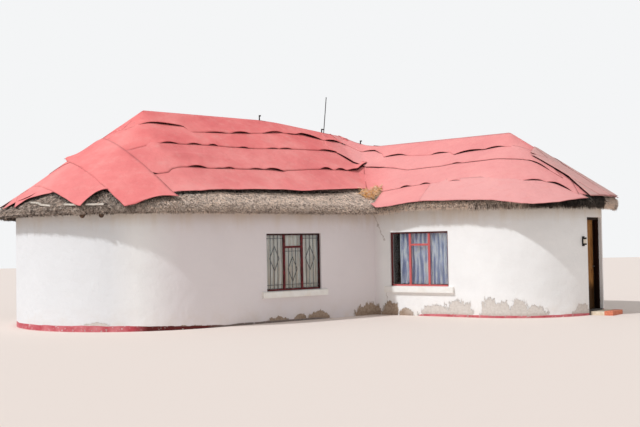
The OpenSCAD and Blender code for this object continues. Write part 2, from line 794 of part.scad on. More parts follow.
floor_slab();
left_end_wall_front();
left_end_wall_side();
left_end_wall_rear();
left_front_wall();
right_front_wall();
right_end_wall_front();
right_end_wall_rear();
doorway_lintel_wall();
right_back_wall();
back_round_wall_right();
back_round_wall_left();
left_back_wall();
left_window_frame();
right_window_frame();
back_window_frames();
front_window_glass();
back_window_glass();
window_sills();
left_curtains();
right_curtains();
back_curtains();
door_frame();
door_hinges();
door_leaf();
leaf_hinges();
door_handle();
doorstep();
step_bricks();
wall_lamp();
left_wall_plate();
right_wall_plate();
left_rafters();
right_rafters();
left_end_thatch();
left_front_thatch();
left_back_thatch();
back_round_thatch();
right_front_thatch();
right_end_thatch();
right_back_thatch();
left_end_sheets();
left_front_sheets();
left_back_sheets();
back_round_sheets();
right_front_sheets();
right_end_sheets();
right_back_sheets();
roof_mast();
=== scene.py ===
"""Looks of the double rondavel: limewashed walls, grey thatch and painted belting on the roof."""
import json
import math

import bmesh
import bpy
import numpy as np
from mathutils import Euler, Matrix, Vector, noise
from mathutils.bvhtree import BVHTree

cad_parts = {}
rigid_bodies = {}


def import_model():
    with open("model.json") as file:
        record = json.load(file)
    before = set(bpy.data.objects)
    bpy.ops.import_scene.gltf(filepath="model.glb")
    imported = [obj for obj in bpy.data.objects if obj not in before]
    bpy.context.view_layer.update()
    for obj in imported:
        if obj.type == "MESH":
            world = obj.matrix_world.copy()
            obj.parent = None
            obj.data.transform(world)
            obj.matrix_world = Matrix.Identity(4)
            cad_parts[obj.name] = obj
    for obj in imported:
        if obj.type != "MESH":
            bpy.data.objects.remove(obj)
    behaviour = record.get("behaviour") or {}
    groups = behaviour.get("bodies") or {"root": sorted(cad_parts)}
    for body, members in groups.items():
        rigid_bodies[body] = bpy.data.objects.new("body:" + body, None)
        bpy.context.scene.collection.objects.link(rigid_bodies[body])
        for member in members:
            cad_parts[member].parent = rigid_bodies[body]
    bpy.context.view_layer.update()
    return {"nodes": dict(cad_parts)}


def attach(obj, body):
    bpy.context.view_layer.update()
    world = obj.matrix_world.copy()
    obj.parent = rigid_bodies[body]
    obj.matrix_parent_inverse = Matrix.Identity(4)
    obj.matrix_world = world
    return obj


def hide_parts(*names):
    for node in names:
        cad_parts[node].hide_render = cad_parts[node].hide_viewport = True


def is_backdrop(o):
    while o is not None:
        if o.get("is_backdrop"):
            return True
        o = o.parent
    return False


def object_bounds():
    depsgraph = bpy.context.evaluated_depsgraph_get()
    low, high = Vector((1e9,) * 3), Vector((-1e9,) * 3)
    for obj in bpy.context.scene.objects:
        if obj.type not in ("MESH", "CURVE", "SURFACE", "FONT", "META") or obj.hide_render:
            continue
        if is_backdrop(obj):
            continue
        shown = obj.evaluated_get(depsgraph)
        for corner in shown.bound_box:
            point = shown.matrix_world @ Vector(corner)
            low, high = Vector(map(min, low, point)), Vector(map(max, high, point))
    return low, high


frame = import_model()
nodes = frame["nodes"]
scene = bpy.context.scene

# Plan of the house, in metres, as in the part's source
WING_ANGLE = math.radians(37.3)
LEFT_LEN, RIGHT_LEN = 5.9, 4.92
LEFT_R, RIGHT_R = 2.8, 2.05
OVERHANG = 0.336
LEFT_RIDGE_Z, CROSS_RIDGE_Z, RIGHT_RIDGE_Z = 4.8, 4.55, 4.24
LEFT_EAVE_TOP, RIGHT_EAVE_TOP = 2.5, 2.6
WINDOW_W, WINDOW_H, WINDOW_Z = 1.511, 1.245, 0.675
WINDOW_SETBACK, FRAME_DEPTH, FRAME_W, MULLION_W = 0.045, 0.034, 0.038, 0.052
TRANSOM_W, FANLIGHT_H = 0.046, 0.295
CURTAIN_T, CURTAIN_GAP = 0.06, 0.03
LEFT, RIGHT = -1, 1
WINDOW_T = {LEFT: 3.75, RIGHT: 3.515}
WING_R = {LEFT: LEFT_R, RIGHT: RIGHT_R}
WING_LEN = {LEFT: LEFT_LEN, RIGHT: RIGHT_LEN}


def wing_pt(side, t, d):
    """Plan place t along a wing's centre line and d in front of it."""
    c, s = math.cos(WING_ANGLE), math.sin(WING_ANGLE)
    return Vector((side * (c * t - s * d), -s * t - c * d))


def wing_matrix(side, face):
    """Axes of a straight wall: x along it, y out of it, z up, from the crossing."""
    m = Matrix.Identity(4)
    m.col[0][:2], m.col[1][:2] = wing_pt(side, 1, 0), wing_pt(side, 0, 1) * face
    return m


# Colours and material nodes

def linear(code):
    """A hex sRGB colour as linear RGBA."""
    values = [int(code[i:i + 2], 16) / 255 for i in (1, 3, 5)]
    return [v / 12.92 if v <= 0.04045 else ((v + 0.055) / 1.055) ** 2.4 for v in values] + [1]


class Value:
    """An output of a node. The signs + - * ** and abs between values add nodes too."""

    def __init__(self, socket):
        self.socket = socket
        self.tree = socket.id_data

    def ramp(self, low, high, to_low=0, to_high=1):
        """This value mapped from one range to another, held at the ends."""
        return node(self.tree, "MapRange", {
            "Value": self, "From Min": low, "From Max": high, "To Min": to_low, "To Max": to_high})


def feed(socket, value):
    """Gives an input another node's output, a hex colour or a plain value."""
    if isinstance(value, Value):
        value.tree.links.new(value.socket, socket)
    else:
        socket.default_value = linear(value) if isinstance(value, str) else value


def node(tree, kind, inputs, output=0, **settings):
    """Adds a node, with its properties and inputs, and gives one of its outputs."""
    made = tree.nodes.new("ShaderNode" + kind)
    for key, value in settings.items():
        setattr(made, key, value)
    for key, value in inputs.items():
        feed(made.inputs[key], value)
    return Value(made.outputs[output])


def reckon(how, *values):
    """One step of arithmetic. The first of the values isn't a plain number."""
    return node(values[0].tree, "Math", dict(enumerate(values)), operation=how)


for sign, how in (("add", "ADD"), ("sub", "SUBTRACT"), ("mul", "MULTIPLY"), ("pow", "POWER"),
                  ("abs", "ABSOLUTE")):
    setattr(Value, f"__{sign}__", lambda *values, how=how: reckon(how, *values))


def larger(a, b):
    return reckon("MAXIMUM", a, b)


def smaller(a, b):
    return reckon("MINIMUM", a, b)


def blend(share, a, b):
    """Two colours mixed by a share."""
    return node(share.tree, "Mix", {0: share, 6: a, 7: b}, 2, data_type="RGBA")


def steps(source, *stops):
    """A colour ramp through (place, hex colour) stops."""
    ramp = node(source.tree, "ValToRGB", {"Fac": source}, "Color")
    points = ramp.socket.node.color_ramp.elements
    while len(points) < len(stops):
        points.new(0.5)
    for point, (place, code) in zip(points, stops):
        point.position = place
        point.color = linear(code)
    return ramp


class Coat:
    """A material in the making, mapped by the object's own coordinates."""

    def __init__(self, name, roughness, **inputs):
        self.material = bpy.data.materials.new(name)
        self.material.use_nodes = True
        self.tree = self.material.node_tree
        self.shader = self.tree.nodes["Principled BSDF"].inputs
        self.place = node(self.tree, "TexCoord", {}, "Object")
        self.shader["Roughness"].default_value = roughness
        for key, value in inputs.items():
            self.shader[key.replace("_", " ")].default_value = value

    def noise(self, size, detail=4, rough=0.55, squash=None, twist=0):
        """Noise whose lumps are about size metres wide, squashed along chosen axes."""
        place = self.place
        if squash:
            place = node(self.tree, "Mapping", {"Vector": place, "Scale": squash})
        return node(self.tree, "TexNoise", {
            "Vector": place, "Scale": 1 / size, "Detail": detail, "Roughness": rough,
            "Distortion": twist}, "Fac")

    def attribute(self, name):
        return node(self.tree, "Attribute", {}, "Fac", attribute_name=name)

    def xyz(self):
        parts = node(self.tree, "SeparateXYZ", {0: self.place})
        return [Value(part) for part in parts.socket.node.outputs]

    def away_from(self, centre, scale=(1, 1, 1)):
        """Distance from a place, with each axis scaled."""
        away = self.place
        for how, other in (("SUBTRACT", centre), ("MULTIPLY", scale)):
            away = node(self.tree, "VectorMath", {0: away, 1: other}, operation=how)
        return node(self.tree, "VectorMath", {0: away}, "Value", operation="LENGTH")

    def coated(self, colour, height=None, depth=0, strength=1):
        """Sets the colour, and relief of a depth in metres, and gives the material."""
        feed(self.shader["Base Color"], colour)
        if height:
            relief = {"Height": height, "Distance": depth, "Strength": strength}
            feed(self.shader["Normal"], node(self.tree, "Bump", relief))
        return self.material


# Materials

def wall_place(side, t, z):
    """A place on a front wall's outer face, t along the wing."""
    return (*wing_pt(side, t, WING_R[side]), z)


def end_place(side, angle, z):
    """A place on a round end's outer face, at degrees from the centre line."""
    a, r = math.radians(angle), WING_R[side]
    return (*wing_pt(side, WING_LEN[side] + r * math.cos(a), r * math.sin(a)), z)


# Two hair cracks on the right front wall: a line in x and z, and its lowest and highest z
CRACKS = [(((0.6, 2.35), (0.85, 1.72)), 1.72, 2.4), (((0.88, 0.6), (0.86, 0.3)), 0.28, 0.52)]
CRACK_FROM, CRACK_TO, CRACK_FADE = 0.012, 0.004, 0.02
# Where the plaster has come off at the foot of the walls: half width and height of each patch,
# at metres along the fronts and at degrees round the ends
BARE_PATCHES = [(spot(side, at, z), wide, tall) for spot, side, z, patches in (
    (wall_place, LEFT, 0, ((4.2, 0.3, 0.13), (3.62, 0.2, 0.15), (3.1, 0.34, 0.19), (1.6, 0.4, 0.27))),
    (wall_place, RIGHT, 0, ((2.3, 0.2, 0.29), (2.75, 0.25, 0.31), (3.15, 0.22, 0.17),
                              (3.9, 0.36, 0.25), (4.5, 0.36, 0.4))),
    (end_place, RIGHT, 0, ((81, 0.2, 0.43), (73, 0.24, 0.37), (63, 0.26, 0.4), (54, 0.3, 0.27),
                             (19, 0.34, 0.27))),
    (end_place, LEFT, 0.06, ((41, 0.33, 0.13),)),
    (end_place, LEFT, 0, ((76, 0.75, 0.085),)),
) for at, wide, tall in patches]


def within_walls(x, y):
    """1 on the inner faces of the walls, by distance from the wings' centre lines."""
    inside = []
    for side in (LEFT, RIGHT):
        ax, ay = wing_pt(side, 1, 0)
        along = smaller(larger(x * ax + y * ay, 0), WING_LEN[side])
        dx, dy = x - along * ax, y - along * ay
        away = (dx * dx + dy * dy) ** 0.5
        inside.append(away.ramp(WING_R[side] - 0.14, WING_R[side] - 0.2))
    return larger(*inside)


def limewashed_plaster():
    """Lime wash on hand-floated mud plaster: matt, uneven, stained under the eave, with a
    red painted foot and bare grey render where it has flaked. Painted shade falls under the
    eave, on the left front wall and on the inner faces, and the bare render is painted paler
    in the sun and darker in the shade."""
    skin = Coat("limewashed_plaster", 0.9)
    x, y, z = skin.xyz()
    cloud = skin.noise(0.9, 3)
    wash = steps(cloud, (0.3, "#F1EFED"), (0.55, "#F7F5F3"))
    wash = blend(x.ramp(-4.5, -5, 0, 0.6), wash, "#DEDFE2")
    # Painted shade on the left front wall, pinkish as with light bounced off the ground
    shady = x.ramp(-4.4, -3.6) * x.ramp(0.8, 0.6) * y.ramp(-1.5, -1.9)
    wash = blend(shady * 0.75, wash, "#E4DADB")
    drip = skin.noise(0.3, 5, 0.6, (1, 1, 0.16)).ramp(0.45, 0.75) * z.ramp(1.9, 2.4)
    wash = blend(drip * 0.6, wash, "#D6BFA2")
    # Under the eave the wash is darker and warmer: partly stains, partly painted shade from the eave
    under = z.ramp(2.08, 2.4, 0, 0.5) * cloud.ramp(0.3, 0.6, 0.5, 1)
    wash = blend(under, wash, "#D9C0A0")
    splash = z.ramp(0.5, 0.05) * skin.noise(0.3, 6, 0.65).ramp(0.42, 0.75)
    wash = blend(splash * 0.4, wash, "#D8C6B2")
    # The painted foot: 120 mm of red round the left end, maroon and then bare grey towards
    # the bend, and 55 mm of red on the right
    front = (y * -math.cos(WING_ANGLE) - abs(x) * math.sin(WING_ANGLE)).ramp(0.4, 0.7)
    west = x.ramp(-2.9, -4.6, 0.045, 0.12)
    west = blend(x.ramp(-0.9, 0.55), west, west - 0.12)
    east = x.ramp(1.42, 1.6, -0.05, 0.055)
    behind = front.ramp(0, 1, 0.085, -0.06)
    rim = larger(larger(west, east), behind) + skin.noise(0.5).ramp(0.3, 0.7, -0.012, 0.012)
    worn = skin.noise(0.06, 6, 0.7).ramp(0.33, 0.42)
    painted = (rim - z).ramp(-0.003, 0.003) * worn
    red = steps(skin.noise(0.25), (0.35, "#BE4B55"), (0.65, "#D87F84"))
    maroon = front * x.ramp(-4.55, -4.25) * x.ramp(0.9, 0.6)
    red = blend(maroon, red, "#5A1512")
    red = blend(x.ramp(-3.1, -2.8) * maroon, red, "#7D6F68")
    wash = blend(painted, wash, red)
    # Flaked places, with ragged tops
    nearest = None
    for centre, wide, tall in BARE_PATCHES:
        away = skin.away_from(centre, (1 / wide, 1 / wide, 1 / tall))
        nearest = smaller(nearest, away) if nearest else away
    ragged = skin.noise(0.12, 8, 0.75, (1, 1, 0.4)).ramp(0.3, 0.7, -0.38, 0.38)
    bare = (nearest + ragged).ramp(1, 0.95) * painted.ramp(1, 0)
    # The bare render is painted paler where it stands in the sun, and darker on the shaded walls, partly
    # from damp and partly as painted shade
    sunny = larger(x.ramp(1.2, 1.6), x.ramp(-4.6, -4.8))
    grain = skin.noise(0.05, 6, 0.7)
    pale = steps(grain, (0.3, "#C9BFB6"), (0.6, "#DDD5CD"))
    damp_and_shaded_render = steps(grain, (0.3, "#87715F"), (0.6, "#B7A28E"))
    render = blend(z.ramp(0.12, 0, 0, 0.5), blend(sunny, damp_and_shaded_render, pale), "#8A6F5C")
    wash = blend(bare, wash, render)
    # Hair cracks beside the bend
    for ((x0, z0), (x1, z1)), low, high in CRACKS:
        slope = (x1 - x0) / (z1 - z0)
        wander = skin.noise(0.1).ramp(0.2, 0.8, -0.05, 0.05)
        off = abs(x + wander - (z * slope + (x0 - slope * z0)))
        thin = off.ramp(CRACK_FROM, CRACK_TO) * front * z.ramp(low, low + CRACK_FADE)
        wash = blend(thin * z.ramp(high, high - CRACK_FADE) * 0.5, wash, "#8C7462")
    # Painted shade: the walls' inner faces are dark, as in the shade of the room
    wash = blend(within_walls(x, y), wash, "#2E2620")
    relief = skin.noise(0.3, 3) + skin.noise(0.012, 3) * 0.12 - bare * 0.3
    return skin.coated(wash, relief, 0.02)


def painted_belting():
    """Red-pink paint on old rubber belting: chalky, faded in patches, dusty at the laps, with painted
    shade in the laps.
    """
    skin = Coat("painted_belting", 0.7, Specular_IOR_Level=0.25)
    colour = steps(skin.noise(1.1, 5, 0.6), (0.32, "#E87372"), (0.5, "#F2827F"), (0.68, "#F99590"))
    tint = skin.attribute("tint")
    colour = blend(tint.ramp(0, 1, 0, 0.75), colour, "#E8ADA9")
    # Tints past 1 grey the paint: faded, and also painted shade on the end strips that turn away at the
    # right hip
    colour = blend(tint.ramp(1, 1.4, 0, 0.7), colour, "#BDA198")
    streak = skin.noise(0.1, 6, 0.65, (0.35, 1, 1))
    colour = blend(streak.ramp(0.52, 0.75, 0, 0.3), colour, "#E07A76")
    dust = skin.noise(0.25, 6, 0.7)
    colour = blend(dust.ramp(0.52, 0.7, 0, 0.35), colour, "#F3A9A0")
    grime = skin.attribute("edge") ** 3 * skin.noise(0.3, 5).ramp(0.3, 0.65)
    colour = blend(grime * 0.5, colour, "#BC6264")
    # Painted shade: the paint goes black inside the open laps, and darker along the closed ones, by how
    # closed in each place is
    open_air = node(skin.tree, "AmbientOcclusion", {"Distance": 0.12}, "AO", samples=8)
    colour = blend(open_air.ramp(0.56, 0.34, 0, 0.92), colour, "#1C0E0E")
    weave, dents = skin.noise(0.025, 3), skin.noise(0.4, 3)
    wrinkles = skin.noise(0.22, 4, 0.6, (0.3, 1, 1))
    return skin.coated(colour, dents + weave * 0.08 + wrinkles * 0.5, 0.05, 0.8)


# The hollow under the lifted sheets at the right hip, where the thatch and its stalks are painted black
# as shade
HOLLOW_AT = end_place(RIGHT, 30, 2.45)
HOLLOW_FROM, HOLLOW_TO = 0.9, 1.25


def weathered_thatch():
    """Cut thatching grass gone grey: coarse, with painted shade in the dark gaps between the stalks."""
    skin = Coat("weathered_thatch", 0.95)
    mixed = skin.noise(0.02, 4, 0.6) * 0.6 + skin.noise(0.12) * 0.4
    colour = steps(mixed, (0.35, "#3A302A"), (0.45, "#8A7B6F"), (0.55, "#B8A89B"), (0.68, "#DCCBBD"))
    # Painted shade: black in the hollow under the lifted sheets
    hollow = skin.away_from(HOLLOW_AT).ramp(HOLLOW_TO, HOLLOW_FROM)
    return skin.coated(blend(hollow, colour, "#0E0A08"), mixed, 0.05)


def grass_stalks():
    """Single stalks of the thatch, each a little different, grey outside and tan where cut, and black
    where painted shade falls.
    """
    skin = Coat("grass_stalks", 0.9)
    colour = steps(skin.attribute("tint"), (0, "#0B0807"), (0.2, "#54463D"), (0.45, "#A39286"),
                   (0.7, "#DAC6B8"), (0.92, "#F6E4D6"), (1, "#F0B45C"))
    dusty = skin.noise(0.3, 3).ramp(0.4, 0.65, 0, 0.25)
    return skin.coated(blend(dusty, colour, "#A8978A"))


def gloss_steel_paint():
    """Maroon gloss enamel brushed on steel section: sheen, brush marks, and painted light on the right
    window's frame.
    """
    skin = Coat("gloss_steel_paint", 0.4, Specular_IOR_Level=0.25)
    colour = steps(skin.noise(0.09, 5), (0.3, "#3A080C"), (0.55, "#62141A"), (0.75, "#8A2A30"))
    x, y, z = skin.xyz()
    # Painted light: the right window's frame, which stands in the sun, is painted paler
    colour = blend(x.ramp(0.4, 0.6) * y.ramp(-1, -1.2), colour, "#CB6463")
    # The outer members are black with dust and damp from the wall, and with painted shade from the reveal
    # and the eave
    ax, ay = wing_pt(RIGHT, 1, 0)
    along = abs(x) * ax + y * ay
    soiled_and_shaded = z.ramp(WINDOW_Z + WINDOW_H - 0.045, WINDOW_Z + WINDOW_H - 0.035)
    for side in (LEFT, RIGHT):
        end = abs(along - WINDOW_T[side]).ramp(WINDOW_W / 2 - 0.045, WINDOW_W / 2 - 0.035)
        soiled_and_shaded = larger(soiled_and_shaded, end * (x * side).ramp(-0.1, 0.1))
    colour = blend(soiled_and_shaded * 0.85, colour, "#240508")
    return skin.coated(colour, skin.noise(0.006, 2, squash=(1, 1, 0.1)), 0.001)


def sheet_glass():
    """Clear sheet glass with a little dust."""
    skin = Coat("sheet_glass", 0.05, IOR=1.5, Transmission_Weight=1)
    feed(skin.shader["Roughness"], skin.noise(0.2, 5).ramp(0.3, 0.8, 0.02, 0.12))
    return skin.coated("#F4F8F8")


def mottled(name, roughness, mottles, stops, depth=0, grit=None):
    """A plain finish in a few shades. Mottles give the relief too, or else grit does."""
    skin = Coat(name, roughness)
    shade = skin.noise(*mottles)
    height = skin.noise(*grit) if grit else shade
    return skin.coated(steps(shade, *stops), height if depth else None, depth)


def floated_cement(name, dark, light, patch):
    """Steel-floated cement: flat, with fine grit and worn, dusty places."""
    skin = Coat(name, 0.88)
    colour = steps(skin.noise(0.12, 6, 0.6), (0.3, dark), (0.65, light))
    colour = blend(skin.noise(0.4).ramp(0.5, 0.7, 0, 0.6), colour, patch)
    return skin.coated(colour, skin.noise(0.02), 0.006)


def varnished_timber(name, dark, light):
    """Old varnished hardwood, nearly dull, with fine upright grain, and black low down."""
    skin = Coat(name, 0.6, Specular_IOR_Level=0.08)
    grain = skin.noise(1 / 120, 4, 0.5, (1, 1, 0.06), 0.6)
    broad = skin.noise(0.09, 3, squash=(1, 1, 0.15))
    colour = steps(grain * 0.55 + broad * 0.45, (0.35, dark), (0.62, light))
    height = skin.xyz()[2] + broad.ramp(0.3, 0.7, -0.1, 0.1)
    colour = blend(height.ramp(0.8, 0.6, 0, 0.85), colour, "#1A0E08")
    return skin.coated(colour, grain, 0.001)


def woven_cloth(name, deep, dark, light, slub_w=0.012, slub_run=0.05):
    """Woven curtain cloth: upright slub threads, with painted shade deep in the folds."""
    skin = Coat(name, 0.9, Sheen_Weight=0.3)
    slub = skin.noise(slub_w, 3, squash=(1, 1, slub_run))
    colour = steps(slub, (0.35, dark), (0.65, light))
    # Painted shade: the deep colour lies in the folds, as the fold layer gives it
    colour = blend(skin.attribute("fold").ramp(0.1, 0.65), deep, colour)
    return skin.coated(colour, slub, 0.002)


def plain_metal(name, code, roughness, metallic):
    """Weathered steel with a thin film of dirt."""
    skin = Coat(name, roughness, Metallic=metallic)
    dirt = skin.noise(0.02, 5).ramp(0.5, 0.7, 0, 0.5)
    return skin.coated(blend(dirt, code, "#5B4A3E"))


# The lamp's lens: how far off the wall it starts, and the black rim above and below it
LENS_FROM, LENS_RIM = 0.04, 0.06


def lamp_enamel(low, high):
    """Black enamel on the lamp, chalky from the sun, with an opal lens in its tube's outer
    side. The lamp stands between the heights low and high."""
    skin = Coat("lamp_enamel", 0.7, Specular_IOR_Level=0.15)
    black = steps(skin.noise(0.03), (0.3, "#0D0C0C"), (0.75, "#2B2826"))
    opal = steps(skin.noise(0.05, 3), (0.3, "#D9CDBB"), (0.7, "#EFE6D8"))
    away = skin.away_from((*wing_pt(RIGHT, RIGHT_LEN, 0), 0), (1, 1, 0))
    lens = away.ramp(RIGHT_R + LENS_FROM, RIGHT_R + LENS_FROM + 0.002)
    z = skin.xyz()[2]
    for edge, inward in ((low, LENS_RIM), (high, -LENS_RIM)):
        lens = lens * z.ramp(edge + inward, edge + inward * 1.04)
    return skin.coated(blend(lens, black, opal))


PLASTER = limewashed_plaster()
BELTING = painted_belting()
# The underside of the belting: black rubber with cotton ply
BELT_BACK = mottled("bare_belting", 0.85, (0.05,), [(0.3, "#120E0E"), (0.7, "#2A2221")])
THATCH, STALKS = weathered_thatch(), grass_stalks()
STEEL_PAINT = gloss_steel_paint()
# Black enamel on thin square bar
BARS = mottled("burglar_bar_paint", 0.5, (0.03,), [(0.35, "#1E1816"), (0.7, "#3A2E2A")])
GLASS = sheet_glass()
FLOOR_CEMENT = floated_cement("floor_cement", "#3E3833", "#57504A", "#6A6159")
SILL_CEMENT = floated_cement("sill_cement", "#F2EEE8", "#FAF7F2", "#EFE6DA")
STEP_CEMENT = floated_cement("step_cement", "#D8C7AE", "#EEDFC8", "#C9B193")
# Common wire-cut clay brick: orange and gritty, with dark fire marks
BRICK = mottled("clay_brick", 0.92, (0.03, 6, 0.65),
                [(0.3, "#B4593C"), (0.5, "#DB8060"), (0.72, "#EBA385")], 0.004, (0.008,))
DOOR_WOOD = varnished_timber("door_wood", "#6E4423", "#B07F4A")
FRAME_WOOD = varnished_timber("door_frame_wood", "#150A06", "#2B170D")
# Debarked gum pole: brown, with drying cracks
POLE = mottled("gum_pole", 0.8, (0.03, 5, 0.6),
               [(0.32, "#241811"), (0.5, "#4E382A"), (0.7, "#7A5C45")], 0.006)
# Split softwood lath bleached silver-grey by the sun
LATH = mottled("weathered_lath", 0.85, (0.02,), [(0.3, "#B5A99B"), (0.6, "#E3DACE")], 0.003)
BEIGE_CLOTH = woven_cloth("beige_curtain_cloth", "#D8C4B2", "#FFF2E4", "#FFFDF8")
LACE_CLOTH = woven_cloth("lilac_lace", "#8D97C0", "#D2D8F4", "#FFFFFF", 0.05, 0.3)
DULL_STEEL = plain_metal("dull_steel", "#8C8A86", 0.45, 1)
MAST_STEEL = plain_metal("mast_steel", "#2B2A2B", 0.75, 0.3)
lamp_heights = [v.co.z for v in nodes["wall_lamp"].data.vertices]
LAMP_ENAMEL = lamp_enamel(min(lamp_heights), max(lamp_heights))


def dress(material, *names):
    """Gives nodes of the frame their material."""
    for name in names:
        slots = nodes[name].data.materials
        slots.clear()
        slots.append(material)


SLOPES = ["left_end", "left_front", "left_back", "back_round", "right_front", "right_end",
          "right_back"]
dress(PLASTER, *[n for n in nodes if n.endswith("_wall") or "_wall_" in n])
dress(POLE, "left_wall_plate", "right_wall_plate", "left_rafters", "right_rafters")
dress(THATCH, *[s + "_thatch" for s in SLOPES])
dress(BELTING, *[s + "_sheets" for s in SLOPES])
dress(STEEL_PAINT, "left_window_frame", "right_window_frame", "back_window_frames")
dress(GLASS, "front_window_glass", "back_window_glass")
dress(SILL_CEMENT, "window_sills")
dress(FLOOR_CEMENT, "floor_slab")
dress(STEP_CEMENT, "doorstep")
dress(BRICK, "step_bricks")
dress(DOOR_WOOD, "door_leaf")
dress(FRAME_WOOD, "door_frame")
dress(DULL_STEEL, "door_hinges", "leaf_hinges", "door_handle")
dress(LAMP_ENAMEL, "wall_lamp")
dress(MAST_STEEL, "roof_mast")


# New pieces

def placed(name, mesh, *materials):
    """Puts a mesh in the scene."""
    if isinstance(mesh, bmesh.types.BMesh):
        made = bpy.data.meshes.new(name)
        mesh.to_mesh(made)
        mesh.free()
        mesh = made
    for material in materials:
        mesh.materials.append(material)
    thing = bpy.data.objects.new(name, mesh)
    scene.collection.objects.link(thing)
    return thing


def piece(name, mesh, slot, *materials, replaced=None):
    """Makes a mesh a piece of the house."""
    thing = placed(name, mesh, *materials)
    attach(thing, "house")
    if replaced:
        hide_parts(replaced)
    return thing


def surface_of(meshes):
    """The faces of some meshes, to be felt for by rays."""
    corners, faces = [], []
    for mesh in meshes:
        base = len(corners)
        corners.extend(v.co.copy() for v in mesh.vertices)
        faces.extend([base + i for i in f.vertices] for f in mesh.polygons)
    return BVHTree.FromPolygons(corners, faces)


SURFACE = surface_of(nodes[s + "_thatch"].data for s in SLOPES)
DOWN, UP = Vector((0, 0, -1)), Vector((0, 0, 1))
SKY = 9
NUDGE = 0.002
EDGE_ROUND = 0.06
EDGE_FALL = 0.7


def nearest_axis(x, y):
    """How far a plan place lies in from the eave, and the nearest place of a centre line."""
    best = None
    for side in (LEFT, RIGHT):
        along = wing_pt(side, 1, 0)
        foot = along * min(max(along.dot((x, y)), 0), WING_LEN[side])
        inward = WING_R[side] + OVERHANG - (Vector((x, y)) - foot).length
        if best is None or inward > best[0]:
            best = (inward, foot)
    return best


def reach(p):
    return nearest_axis(p.x, p.y)[0]


def thatch_top(x, y):
    """Height of the thatch's top; past the eave the slope runs on."""
    inward, foot = nearest_axis(x, y)
    place = Vector((x, y))
    past = max(EDGE_ROUND - inward, 0)
    if past:
        place += (foot - place).normalized() * past
    best = None
    for shift in (0, NUDGE):
        hit = SURFACE.ray_cast(Vector((place.x + shift, place.y + shift, SKY)), DOWN)[0]
        if hit is not None and (best is None or hit.z > best):
            best = hit.z
    return (LEFT_EAVE_TOP if best is None else best) - past * EDGE_FALL


class Unrolled:
    """A slope and the hip that follows it, unrolled flat. The ridge's end is the origin, y
    runs down the slope, and x is positive on the hip."""

    def __init__(self, centre, start, turn, ridge_z, eave_r, eave_z, sweep=180):
        self.centre = Vector(centre)
        self.start = math.radians(start)
        self.turn = turn
        self.cos = eave_r / math.hypot(eave_r, ridge_z - eave_z)
        self.fold = math.radians(sweep) * self.cos

    def axes(self, angle):
        """In plan, the way down the slope and the way along it."""
        out = Vector((math.cos(angle), math.sin(angle)))
        return out, Vector((-out.y, out.x)) * self.turn

    def plan(self, x, y):
        if x <= 0:
            out, along = self.axes(self.start)
            return self.centre + out * y * self.cos + along * x
        angle = math.atan2(x, y)
        far = math.hypot(x, y)
        out, along = self.axes(self.start + self.turn * min(angle, self.fold) / self.cos)
        if angle <= self.fold:
            return self.centre + out * far * self.cos
        rest = angle - self.fold
        return self.centre + out * far * math.cos(rest) * self.cos + along * far * math.sin(rest)


DEG = math.degrees(WING_ANGLE)
LEFT_END = wing_pt(LEFT, LEFT_LEN, 0)
RIGHT_END = wing_pt(RIGHT, RIGHT_LEN, 0)
BACK_SWEEP = 115
LEFT_SLOPE = (LEFT_RIDGE_Z, LEFT_R + OVERHANG, LEFT_EAVE_TOP)
RIGHT_SLOPE = (RIGHT_RIDGE_Z, RIGHT_R + OVERHANG, RIGHT_EAVE_TOP)
left_front = Unrolled(LEFT_END, DEG - 90, -1, *LEFT_SLOPE)
left_rear = Unrolled(LEFT_END, DEG + 90, 1, *LEFT_SLOPE)
right_front = Unrolled(RIGHT_END, -DEG - 90, 1, *RIGHT_SLOPE)
right_rear = Unrolled(RIGHT_END, 90 - DEG, -1, *RIGHT_SLOPE)
back_round = Unrolled((0, 0), DEG + 90, -1, CROSS_RIDGE_Z, *LEFT_SLOPE[1:], BACK_SWEEP)

BELT_T = 0.008
CELL = 0.07
TUCKED, LAPPED = 0.004, 0.013
GAP_REACH, RISE_REACH = 0.32, 0.6
# The slits stand a little wider than their listed heights, to read as dark in the sun
GAP_OPEN = 1.3
# Wander of the long edges, swell of the strips and width of their dusty rims
WANDER, SWELL, RIM_W = 0.016, 0.012, 0.1
TINT_RUN = 0.9
# Courses of the hips lie a little lower than the strips over them
UNDER = -0.002


def held(value):
    """A share held between 0 and 1."""
    return min(1, max(0, value))


def spaced(line, count):
    """Evenly spaced places along a line of (x, y) places."""
    line = np.array(line, float)
    gone = np.concatenate([[0], np.cumsum(np.hypot(*np.diff(line, axis=0).T))])
    at = np.linspace(0, gone[-1], count + 1)
    return np.stack([np.interp(at, gone, line[:, k]) for k in (0, 1)], 1), gone[-1]


